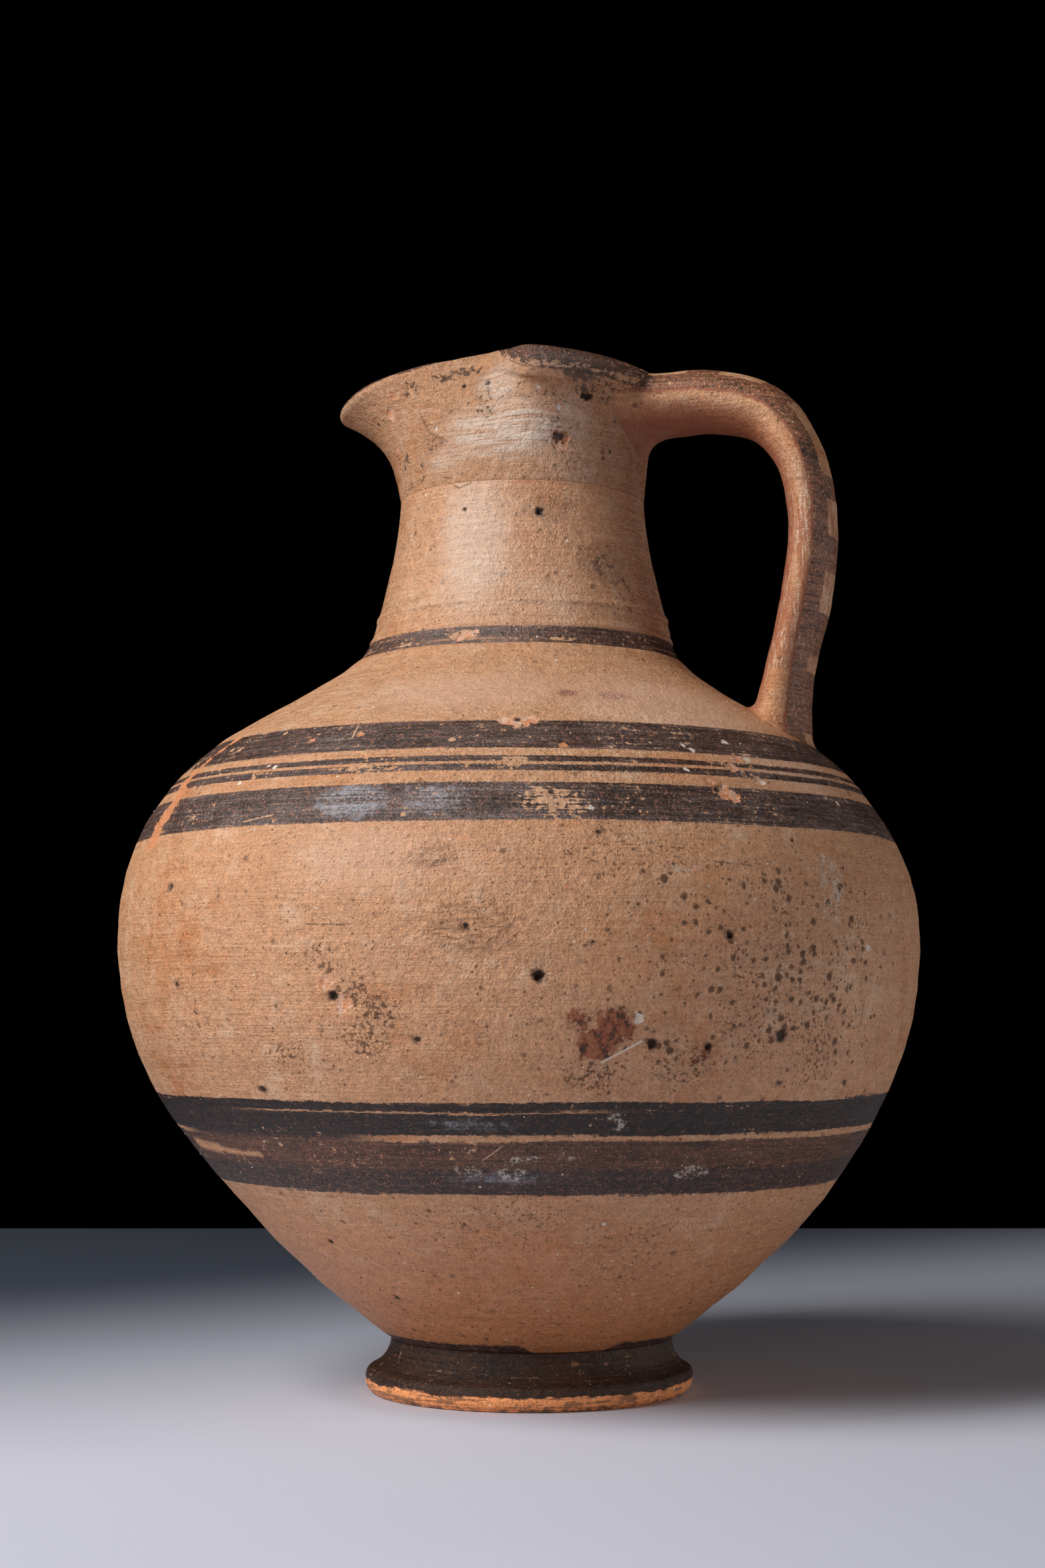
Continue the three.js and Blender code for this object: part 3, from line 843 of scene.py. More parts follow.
def paint_over(finish, cover, brown=0.0, worn=0.0, sheen=0.5, seed=0):
    """Dark slip brushed on where cover is 1, gritty and flaked. Gives back where it still lies."""
    colours = jug("colours")
    stroke = finish.noise(0.8, detail=3, roughness=0.7, stretch=(26, 26, 0.6), seed=seed + 11)
    sweep = finish.noise(3.0, detail=3, roughness=0.6, stretch=(9, 9, 0.6), seed=seed + 12)
    flake = finish.noise(1.2, detail=5, roughness=0.7, stretch=(1.4, 1.4, 0.9), seed=seed + 13)
    grit = finish.noise(0.5, detail=2, roughness=0.65, seed=seed + 15)
    patchy = finish.noise(12, detail=3, roughness=0.6, seed=seed + 14)
    thin = (patchy - 0.5) * 0.62 + worn
    lost = finish.fade(flake + (stroke - 0.5) * 0.6 + (grit - 0.5) * 0.25 + thin, 0.67, 0.71)
    open_up = finish.fade(thin, -0.14, 0.12)
    bared = finish.most(
        lost, finish.fade(flake * 0.65 + grit * 0.35 + thin * 0.5, 0.63, 0.66) * 0.9,
        finish.specks(1.5, 0.55, 0.7, seed=seed + 16, where=open_up * 0.75 + 0.2, ragged=0.7),
        finish.specks(3.4, 1.1, 0.6, seed=seed + 17, where=open_up * 0.7 + 0.25, ragged=0.8))
    # The grey film, scaled by sheen, is partly a dull skin on the slip and partly painted sheen.
    film = sweep * 0.5 + stroke * 0.3 + grit * 0.2 + (patchy - 0.5) * 0.3
    film = finish.fade(film, 0.40, 0.62) * sheen
    slip = finish.blend(film, colours.paint, colours.paint_grey)
    rubbed = brown * finish.fade(stroke * 0.6 + grit * 0.4 + (patchy - 0.5), 0.2, 0.45)
    slip = finish.blend(rubbed, slip, colours.paint_brown)
    uneven = (grit - 0.5) * 3.8 + (stroke - 0.5) * 3.6 + (flake - 0.5) * 2.4
    uneven = uneven + (patchy - 0.5) * 1.2 + 1.0
    slip = finish.dim(slip, finish.math("MAXIMUM", uneven, 0.25))
    red_grit = finish.fade(grit + (flake - 0.5) * 0.8, 0.58, 0.68)
    slip = finish.blend(red_grit * 0.6, slip, colours.rust_pale)
    there = cover * (1.0 - bared)
    finish.lay(cover * bared * 0.55, colours.clay_pale)
    finish.lay(there * 0.97, slip)
    brushed = (stroke - 0.5) * 0.10 + (grit - 0.5) * 0.16
    finish.relief = finish.relief * (1.0 - there * 0.35) + there * 0.07 + there * brushed
    finish.gloss += there * (0.40 - film * 0.22 - (grit - 0.5) * 0.45 - finish.gloss)
    return there


def mark_colours(finish):
    """Bare clay in chips and scrapes, lime in crusts, soot in pits, and stains round them."""
    colours = jug("colours")
    fresh = finish.noise(2.0, detail=4, roughness=0.7, seed=21)
    chip, scrape = finish.mark("chip"), finish.mark("scrape", rough=0.7)
    lime = finish.mark("lime", rough=0.5)
    finish.lay(chip * 0.92, finish.ramp(fresh, [(0.42, colours.bare), (0.60, colours.spall_and_sheen)]))
    finish.lay(scrape * 0.9, finish.ramp(fresh, [(0.36, colours.clay_red), (0.52, colours.bare)]))
    finish.lay(lime * 0.9, colours.lime)
    finish.lay(finish.mark("pit", inside=0.26, rough=0.6, soft=0.12) * 0.5, colours.stain)
    finish.lay(finish.mark("pit", inside=0.52, rough=0.4, soft=0.06) * 0.93, colours.soot)
    finish.gloss += finish.most(chip, scrape, lime) * (0.7 - finish.gloss)


def inside_finish():
    """Unpainted clay of the inner walls, darker with deposit."""
    finish = Finish("inside_clay")
    fired_clay(finish, seed=30, warm=0.35, rough=1.0)
    deposit = finish.fade(finish.noise(14, detail=4, seed=31), 0.42, 0.62)
    finish.lay(deposit * 0.45, jug("colours").stain)
    finish.gloss += 0.2
    return finish.close()


# Heights of the painted bands of the body, in millimetres: lower edge, upper edge
BODY_BANDS = [
    (55.7, 68.6), (69.9, 77.6), (142.0, 151.2), (154.0, 155.7), (156.4, 157.8), (159.7, 167.2)]
# How soft a band's edge is, in millimetres
BAND_EDGE = 0.16
# Where the two bands under the belly run into one, and where a line in the upper one is left
# bare: heights, angles
BANDS_JOINED = ((68.2, 70.2), (-138, -96))
LINE_LEFT_BARE = ((75.1, 75.6), (-116, -60))
# Heights at which the body's paint is browner, much darker and a little darker
BROWN_HEIGHTS, DARK_HEIGHTS, DIM_HEIGHTS = (61.5, 69.6), (69.0, 79.0), (50.0, 69.0)
# Height to which the foot's slip runs up the body, and by how much less between two angles
FOOT_SLIP_TOP = 15.9
FOOT_SLIP_DIP, DIP_ANGLES = 2.6, (-69, -38)
# Height to which the neck's band runs up, and heights of the broken pale line in it
NECK_BAND_TOP = 196.1
NECK_PALE_LINE = (192.4, 192.9)
# Height of the foot's line of bare clay, and how far in from the lip the mouth is painted
FOOT_BARE_LINE = (3.7, 4.2)
PAINTED_INSIDE = (-7.6, -7.0)
# How far the lip's paint reaches down, in millimetres: angle from the handle, reach
LIP_PAINT = [
    (0, 7.4), (20, 6.6), (40, 5.8), (72, 5.2), (80, 4.8), (86, 0.5), (106, 0.2), (114, 2.2),
    (134, 2.4), (140, 1.0), (180, 1.0)]
# Bars of the ladder on the strap's outer face: heights on the strap, distances along the arm
STRAP_BARS = [(170.0, 186.0), (190.0, 201.0), (211.6, 221.0), (230.4, 237.2)]
ARM_BARS = [(16.0, 23.0), (33.0, 40.0)]
# The stripe along each edge of the strap and the rusty line under it, as shares of the way from
# the outer face round
EDGE_STRIPE, RUSTY_LINE = (0.165, 0.375), (0.35, 0.405)
# Heights over which the strap's streaks fade in at the mouth and out at the shoulder
STREAKS_IN, STREAKS_OUT = (246, 226), (178, 196)

# Marks cut into each wall: kind, raggedness, flatness of the bottom, then for each mark its
# angle round the axis in degrees, height, radius and depth in millimetres
BODY_MARKS = [
    ("chip", 0.7, 5, [
        (-75.0, 167.0, 1.9, 0.35), (-72.6, 166.6, 2.2, 0.4), (-70.4, 167.2, 1.7, 0.3),
        (-42.5, 150.0, 2.6, 0.7), (-40.5, 149.0, 2.0, 0.5), (-44.0, 152.2, 1.4, 0.3),
        (-34.4, 153.6, 1.6, 0.3), (-95.2, 100.2, 2.0, 0.35), (-97.4, 104.8, 1.8, 0.25),
        (-36.5, 159.0, 1.3, 0.2), (-38.5, 156.5, 1.5, 0.2), (84, 165.5, 2.4, 0.35),
        (87, 167.0, 1.8, 0.3), (152, 148, 2.4, 0.4), (154, 145.5, 1.6, 0.3)]),
    ("scrape", 0.7, 5, [
        (-133.5, 167.0, 2.0, 0.2), (-134.4, 164.4, 1.8, 0.2), (-135.6, 161.2, 2.0, 0.2),
        (-136.8, 158.4, 2.4, 0.22), (-136.6, 155.4, 2.6, 0.25), (-135.6, 152.4, 2.9, 0.25),
        (-135.2, 149.2, 3.2, 0.3), (-135.6, 146.0, 3.6, 0.3), (-136.0, 143.2, 3.4, 0.3),
        (-136.6, 140.6, 2.4, 0.25), (-99.0, 164.2, 0.9, 0.15), (-108, 163.5, 0.8, 0.12),
        (-66.0, 160.6, 0.9, 0.12), (148, 158, 2.2, 0.25), (150, 162, 1.8, 0.2)]),
    ("lime", 0.6, 2, [
        (-44.5, 160.4, 0.9, 0.15), (-45.8, 161.6, 0.6, 0.1), (-34.3, 158.9, 1.0, 0.15),
        (-47.3, 155.2, 0.7, 0.15), (-36.4, 163.2, 0.9, 0.1), (-63, 145.1, 0.7, 0.12),
        (-17.2, 149.6, 0.8, 0.12), (-19.3, 113.7, 0.8, 0.12), (-57.2, 96.7, 1.3, 0.2),
        (-33.5, 153.0, 0.8, 0.1), (-118, 153.6, 0.7, 0.1), (-112, 156.9, 0.7, 0.1),
        (33, 146, 1.0, 0.15), (118, 117, 0.9, 0.12), (-155, 90, 0.9, 0.12)]),
    ("pit", 0.5, 2.4, [
        (-126, 128.5, 1.0, 1.2), (-96.5, 102, 1.3, 1.4), (-70, 106.3, 1.4, 1.8),
        (-111, 80, 1.0, 0.8), (-85.5, 92, 0.8, 0.7), (-79, 117.7, 0.8, 0.6), (-55, 91, 1.3, 1.2),
        (-47, 90.3, 0.9, 1.0), (-45, 116, 1.2, 1.2), (-35.5, 93, 1.5, 1.0), (-43, 150.8, 0.9, 1.0),
        (-72.8, 167.6, 0.7, 0.7), (20, 124, 1.2, 1.0), (62, 96, 1.4, 1.2), (104, 138, 1.1, 0.9),
        (141, 79, 1.3, 0.9), (-168, 108, 1.2, 1.0), (171, 152, 1.1, 0.8)]),
]
NECK_MARKS = [
    ("pit", 0.5, 2.4, [
        (-64.4, 226.8, 1.1, 1.1), (70, 221, 1.0, 0.8), (-150, 212, 0.9, 0.7)]),
    ("chip", 0.7, 5, [
        (-91.2, 194.0, 1.1, 0.2), (-93.6, 193.2, 1.3, 0.25), (-88.5, 194.6, 0.8, 0.15),
        (56, 194.5, 1.8, 0.3)]),
]
MOUTH_MARKS = [
    ("chip", 0.7, 4, [
        (-56.0, 246.3, 1.7, 1.1), (-53.6, 246.1, 1.5, 0.9), (-55.6, 244.5, 1.4, 0.35),
        (-53.6, 244.4, 1.3, 0.3), (-57.8, 245.0, 0.9, 0.2), (-146, 258, 1.8, 0.4),
        (-141, 262.5, 1.5, 0.3), (-152, 260.6, 1.2, 0.25), (120, 262, 1.8, 0.3)]),
    ("pit", 0.6, 2.2, [
        (-57.0, 246.9, 0.9, 1.0), (-54.6, 246.7, 0.8, 0.8), (-46.6, 257.2, 0.8, 1.2),
        (-44.9, 257.1, 0.9, 1.2), (-43.4, 257.3, 0.7, 0.9), (-90, 262, 0.7, 0.6),
        (-104, 262, 0.6, 0.5), (88, 250, 1.2, 1.0)]),
    ("lime", 0.4, 2, [
        (-57.2, 253.9, 0.7, 0.1), (-53.2, 254.1, 0.6, 0.1), (-66, 258.5, 0.5, 0.1),
        (-117, 251, 0.5, 0.1)]),
]

# Soft patches: angle, height, half width and half height in millimetres, strength
BODY_PATCHES = {
    "worn": [
        (-67.4, 146.8, 8.0, 3.6, 0.9), (-57.5, 146.0, 5, 3.2, 0.55), (-74.5, 155.8, 14, 0.9, 1.0),
        (-96, 155.8, 10, 1.6, 0.7), (-116, 156, 10, 1.4, 0.6), (-62, 145.2, 6, 2.4, 0.6),
        (-70, 157.2, 6, 0.7, 0.6), (-41, 157.4, 5, 1.0, 0.7), (-140, 161, 7, 3.5, 0.6),
        (-128, 163, 7, 3.0, 0.4), (-124, 146, 8, 3.0, 0.45), (-36, 158.2, 5, 3.0, 0.8),
        (-82, 66.5, 7, 2.2, 0.45), (-97, 64.5, 6, 3, 0.45), (-52, 75, 5, 2.5, 0.45),
        (-87, 76.5, 6, 1.2, 0.6), (-63.5, 64, 5, 2.2, 0.35), (64, 146, 11, 4, 0.9),
        (128, 163, 9, 3, 0.8), (170, 72, 12, 3, 0.7), (20, 62, 9, 4, 0.6), (98, 72, 7, 3, 0.6),
        (-165, 147, 9, 3, 0.7)],
    "rust": [
        (-60.2, 95.0, 4.8, 4.2, 1.0), (-62.6, 91.0, 4.4, 3.4, 1.0), (-65.0, 96.5, 2.6, 2.6, 0.7),
        (-62.5, 175.4, 3.0, 1.1, 0.7), (-53, 175.0, 5.0, 1.2, 0.75), (-47.5, 88.5, 3.4, 3.0, 0.55),
        (137, 101, 5, 4, 0.8)],
    "soot": [
        (-93.6, 104, 3.4, 4.4, 1.0), (-90.8, 99.0, 6.0, 4.5, 1.0), (-92.5, 92, 6.5, 5.0, 0.9),
        (-97.5, 110, 4.0, 4.5, 0.8), (-62.5, 84, 8, 4.5, 0.8), (-51, 86, 9, 6, 0.7),
        (-41, 100, 12, 14, 0.5), (-40, 120, 14, 10, 0.45), (-105, 88, 6, 4, 0.6),
        (-75, 48, 22, 10, 0.5), (-50, 42, 14, 10, 0.5), (-60, 135, 22, 6, 0.5),
        (-28, 88, 8, 10, 0.7), (130, 90, 12, 12, 0.9), (60, 120, 16, 8, 0.6)],
    "wrinkled": [(-79, 118, 9.5, 6.0, 1.0), (-84, 134, 6, 3, 0.8), (112, 98, 9, 6, 1.0)],
    "dust": [
        (-73.5, 61, 4, 1.6, 0.8), (-80.5, 61.5, 4, 1.6, 0.7), (-59, 73, 3, 2.2, 0.8),
        (-44.5, 60.8, 4.5, 1.6, 1.0), (-66, 65, 3.5, 2, 0.5), (-51, 131, 8, 4, 0.5),
        (-27, 128, 6, 12, 0.6), (-72, 64.4, 6, 1.4, 0.6)],
    # The sheen patches hold a painted highlight on the slip.
    "sheen": [
        (-96, 147, 9, 3.8, 1.0), (-84, 147, 8, 3.4, 0.8), (-104, 163, 10, 1.8, 0.35),
        (-70, 163, 10, 2, 0.2), (-80, 72.5, 12, 2, 0.4), (-76, 60, 12, 1.8, 0.5),
        (80, 148, 12, 3, 0.8)],
    "blush": [
        (-46, 156, 14, 4, 1.0), (-136, 150, 8, 10, 0.7), (-30, 150, 9, 6, 0.6),
        (-118, 148, 9, 8, 0.5), (-70, 40, 12, 8, 0.6), (-60, 108, 10, 8, 0.5),
        (140, 152, 12, 8, 0.8)],
    # The pale patches are painted light: the shoulder and upper belly laid paler where the lamp
    # falls on them.
    "pale": [
        (-84, 176, 26, 6, 0.7), (-42, 172, 24, 9, 1.0), (-25, 156, 16, 10, 0.8),
        (-92, 134, 22, 8, 0.6), (60, 174, 25, 7, 0.7)],
}
NECK_PATCHES = {
    "soot": [
        (-36, 213.4, 5.5, 4.5, 0.9), (-28, 206, 5.0, 7.0, 0.8), (-52, 222, 7, 6, 0.45),
        (-116, 205, 4, 3, 0.4), (-44, 202, 5, 5, 0.5), (118, 216, 7, 6, 0.9)],
    "film": [
        (-37, 214, 8, 6, 1.0), (-60, 228, 12, 5, 0.6), (-100, 219, 10, 8, 0.4),
        (60, 210, 12, 9, 0.7)],
    # The pale patches are painted highlight on the neck.
    "pale": [(-93, 219, 9, 18, 1.0), (-60, 204, 10, 7, 0.3), (100, 222, 12, 12, 0.8)],
    "worn": [
        (-92, 193.6, 4, 1.6, 1.0), (-58, 192.6, 5, 1.0, 0.7), (-118, 192.6, 5, 1.0, 0.6),
        (40, 193, 7, 2, 0.9)],
}
MOUTH_PATCHES = {
    "soot": [
        (-51, 261.6, 6.0, 1.8, 1.0), (-45.5, 259.0, 3.8, 2.2, 0.8), (-39, 261.4, 4.5, 2.2, 0.7),
        (-30, 258, 8, 3.5, 0.6), (-24, 253, 6, 3, 0.4), (-58, 248.5, 5.0, 4.0, 0.6),
        (-60, 256, 7, 4, 0.45), (-90, 256, 5, 5, 0.55), (-119, 247, 3.5, 4.0, 0.5),
        (-104, 266.4, 5.5, 1.3, 1.0), (-118, 265.2, 4.0, 1.4, 0.9), (-133, 263, 3.5, 2.5, 0.7),
        (-140, 245, 2.5, 3.0, 0.7), (-126, 241, 3, 3, 0.5), (-48, 240, 7, 4, 0.45),
        (-64, 252, 9, 6, 0.42), (-76, 258, 6, 4, 0.4), (100, 256, 6, 4, 0.8), (40, 260, 6, 3, 0.8)],
    "film": [
        (-55.5, 247.5, 6.0, 5.0, 1.0), (-47, 258, 8, 5, 0.6), (-62, 253, 8, 6, 0.4),
        (-36, 255, 7, 6, 0.35), (-98, 262, 8, 5, 0.4), (-122, 247, 5, 5, 0.5),
        (70, 248, 10, 5, 0.6)],
    # The pale patches are painted highlight on the mouth.
    "pale": [
        (-82, 249, 14, 7, 1.0), (-50, 251, 7, 6, 0.4), (-84, 261, 6, 5, 0.7),
        (-108, 243, 8, 5, 0.5), (90, 246, 12, 6, 0.7)],
    # The gloss patches hold painted glints as well as lower roughness.
    "gloss": [
        (-70, 249.5, 9, 4.5, 1.0), (-84, 246, 7, 4, 0.8), (-118, 256, 7, 4, 0.6),
        (70, 249, 10, 5, 0.8)],
}

# Where the body's clay is spotted: from angle to angle, softness, heights with softness, level
BODY_SPOTTED = [
    ((-66, -14), 15, (81, 139, 10), 1.0), ((105, 150), 15, (70, 120, 14), 1.0),
    ((-120, -50), 12, (78, 106, 12), 0.5)]
# Scratches and cracks: angle and height of both ends, half width, softness and raggedness
BODY_LINES = {
    "wedge": [(-141, 65.8, -131, 64.9, 1.5, 0.7, 2.4), (-131, 64.9, -119, 64.1, 0.8, 0.6, 2.4)],
    "bright": [(-61.6, 87.0, -56.5, 91.7, 0.24, 0.1, 0.3)],
    "scratch": [
        (-100.8, 167.0, -100.2, 163.4, 0.22), (-108, 144.6, -113, 143.3, 0.2),
        (-78, 64.2, -75, 67.5, 0.15)],
    "crack": [
        (-58.5, 136.3, -51, 135.7, 0.12, 0.1), (-46.5, 132.8, -41, 132.2, 0.12, 0.1),
        (-100, 118.4, -94.5, 118.0, 0.1, 0.1)],
}
NECK_SCRATCHES = [(-106.5, 235.4, -102, 233.9, 0.16), (-102, 233.9, -95.6, 235.0, 0.16)]
MOUTH_GROOVES = [
    (-128, 256, -121, 250, 0.3, 0.4), (-121, 250, -110, 247, 0.3, 0.4),
    (-110.6, 237.4, -106.5, 236.8, 0.16)]


def anywhere(angle, height):
    """Every place is as likely as another."""
    return 1.0


def likely_pit(angle, height):
    """Pits are thickest on the side that the photo shows, round the belly."""
    return 0.25 + 0.75 * (-80 < angle < 5 and 75 < height < 150)


# Small marks strewn by chance: kind, how many, heights between, where likely, largest, deepest
BODY_STREWN = [
    ("pit", 80, (20, 185), likely_pit, 0.8, 0.5), ("lime", 50, (20, 188), anywhere, 0.6, 0.08),
    ("chip", 24, (22, 170), anywhere, 0.9, 0.15)]
NECK_STREWN = [
    ("pit", 14, (194, 234), anywhere, 0.6, 0.4), ("lime", 16, (198, 234), anywhere, 0.5, 0.08)]
MOUTH_STREWN = [("pit", 16, (238, 258), anywhere, 0.6, 0.3)]


def body_finish(surface):
    """Smoothed clay with six dark bands."""
    colours = jug("colours")
    finish = Finish("body_clay")
    # Redder and darker towards the bottom: the red clay laid low on the body is partly painted
    # shade under the belly.
    low = finish.fade(finish.z, 66, 12)
    spotted = [
        finish.window(finish.angle, *around, soft) * finish.window(finish.z, *heights) * level
        for around, soft, heights, level in BODY_SPOTTED]
    # Painted sheen: the clay pales towards tan up the shoulder.
    fired_clay(
        finish, warm=low * 0.9, painted_pale_sheen=finish.fade(finish.z, 132, 172) * 0.08,
        spotted=finish.most(*spotted, low * 0.66), rough=0.8)
    blot = finish.noise(1.15, detail=3, roughness=0.7, seed=17) + finish.kept("soot") * 0.22
    blotted = finish.fade(blot, 0.67, 0.74)
    finish.lay(blotted * 0.7, colours.stain)
    finish.lay(finish.fade(blot, 0.74, 0.80) * 0.6, colours.soot)
    rust = finish.patch("rust", rough=2.2)
    finish.lay(finish.soft_patch("rust", 1.6, 0.7) * 0.35, colours.stain)
    finish.lay(rust * 0.95, finish.ramp(
        finish.noise(2.2, detail=5, roughness=0.75, seed=22), [
            (0.42, colours.soot), (0.48, colours.rust), (0.60, colours.rust_pale)]))
    # Painted light: the body is laid paler in the pale patches, where the lamp falls.
    finish.lay(finish.soft_patch("pale") * 0.55, colours.spall_and_sheen)
    finish.gloss += finish.most(rust, finish.fade(blot, 0.66, 0.73)) * 0.35
    wrinkled = finish.patch("wrinkled", low=0.2, high=0.8)
    furrow = finish.noise(
        2.2, detail=4, roughness=0.6, stretch=(2.2, 2.2, 0.7), seed=18, distortion=1.5)
    finish.relief += wrinkled * furrow * 1.5 + rust * (finish.crumbly + finish.ragged) * 0.8
    finish.lay(wrinkled * finish.fade(furrow, 0.5, 0.36) * 0.45, colours.stain)

    # The bands, with brushed edges that waver more on the lower pair
    brushed = finish.noise(1.3, detail=3, roughness=0.7, stretch=(45, 45, 0.7), seed=41) - 0.5
    wander = finish.noise(70, detail=2, seed=40) - 0.5
    height = finish.z + wander * 1.1 + brushed * 0.9 + finish.crumbly * 0.7 + finish.ragged * 0.5
    height += finish.fade(finish.z, 90, 80) * (brushed * 1.8 + finish.ragged * 1.0 + wander)
    heights, angles = BANDS_JOINED
    closed = finish.window(height, *heights, BAND_EDGE) * finish.window(finish.angle, *angles, 5)
    heights, angles = LINE_LEFT_BARE
    reserved = finish.window(height, *heights, 0.15) * finish.window(finish.angle, *angles, 6)
    splash = FOOT_SLIP_TOP - finish.window(finish.angle, *DIP_ANGLES, 5) * FOOT_SLIP_DIP
    spilt = finish.fade(height - splash, 0.3, -0.3)
    wedge = finish.lines(surface, BODY_LINES["wedge"])
    cover = finish.most(finish.bands(height, BODY_BANDS, BAND_EDGE), closed, spilt)
    worn = finish.soft_patch("worn", 1.3, 1.2) * 0.25
    upper = finish.window(height, *BROWN_HEIGHTS, 1.4) * finish.fade(finish.angle, -160, -130)
    shoulder = finish.fade(finish.z, 100, 140)
    # The sheen argument lays painted sheen: more grey film on the upper bands, most on the band at
    # 142 to 151 mm.
    there = paint_over(
        finish, cover * (1.0 - finish.most(wedge, reserved)), brown=finish.most(upper, 0.25),
        worn=worn - 0.07 + shoulder * 0.05,
        sheen=shoulder * 0.5 + finish.window(height, 141, 152, 1) * 0.3 + 0.05)
    darker = finish.most(
        finish.window(finish.z, *DARK_HEIGHTS, 0.6) * 0.62,
        finish.window(finish.z, *DIM_HEIGHTS, 0.6) * 0.2)
    finish.shade = finish.dim(finish.shade, 1.0 - there * darker)
    # Painted highlight: pale grey laid on the slip in the sheen patches, where the lamp is
    # reflected.
    painted_highlight = finish.patch("sheen", rough=1.4, low=0.2, high=0.8) * there
    finish.lay(painted_highlight * finish.fade(brushed + finish.crumbly, -0.16, 0.12) * 0.8, colours.band_highlight)
    finish.gloss -= painted_highlight * 0.08
    finish.lay(finish.patch("blush", low=0.1, high=0.9) * (1.0 - there) * 0.4, colours.bare)
    dust = finish.patch("dust") * finish.fade(finish.crumbly + finish.ragged, 0.0, 0.12)
    finish.lay(dust * 0.55, colours.lime)
    mark_colours(finish)
    scratch, crack = (finish.lines(surface, BODY_LINES[kind]) for kind in ("scratch", "crack"))
    finish.lay(finish.lines(surface, BODY_LINES["bright"]), colours.lime)
    finish.lay(scratch * 0.8, colours.clay_pale)
    finish.lay(crack * 0.7, colours.stain)
    finish.relief -= scratch * 0.06 + crack * 0.4
    return finish.close(glint=0.4)


def neck_finish(surface):
    """Smoothed clay with one dark band at its base."""
    colours = jug("colours")
    finish = Finish("neck_clay")
    # Painted sheen: a little tan over all of the neck's clay.
    fired_clay(
        finish, seed=50, painted_pale_sheen=0.05, rough=0.85, spotted=finish.soft_patch("film", 0.8) * 0.8)
    blot = finish.noise(1.3, detail=4, roughness=0.75, seed=51) + finish.kept("soot") * 0.19
    pale = finish.soft_patch("pale")
    finish.lay(finish.fade(blot, 0.69, 0.75) * 0.85, colours.soot)
    finish.lay(finish.patch("film", rough=1.2) * 0.3, colours.stain)
    # Painted highlight: the neck's pale patches are laid lighter.
    finish.lay(pale * 0.4, colours.clay_highlight)
    brushed = finish.noise(1.2, detail=3, roughness=0.7, stretch=(40, 40, 0.7), seed=53) - 0.5
    wander = finish.noise(40, detail=2, seed=52) - 0.5
    height = finish.z + wander * 0.9 + brushed * 0.7 + finish.crumbly * 0.4
    broken = finish.fade(finish.noise(24, seed=55), 0.4, 0.6)
    pale_line = finish.window(height, *NECK_PALE_LINE, 0.2) * broken * 0.6
    cover = finish.fade(height, NECK_BAND_TOP + 0.2, NECK_BAND_TOP - 0.2) * (1.0 - pale_line)
    paint_over(finish, cover, brown=0.45, worn=finish.patch("worn") * 0.2, seed=5)
    burnished = finish.noise(1.0, detail=2, roughness=0.6, stretch=(14, 14, 0.7), seed=54)
    # Painted glints: bright streaks along the burnishing inside the pale patches.
    finish.lay(pale * finish.fade(burnished, 0.53, 0.60) * 0.35, colours.clay_highlight)
    finish.gloss -= finish.fade(burnished, 0.46, 0.62) * 0.12 + 0.14
    mark_colours(finish)
    scratch = finish.lines(surface, NECK_SCRATCHES)
    finish.lay(scratch * 0.6, colours.stain)
    finish.relief -= scratch * 0.15
    return finish.close(glint=0.7)


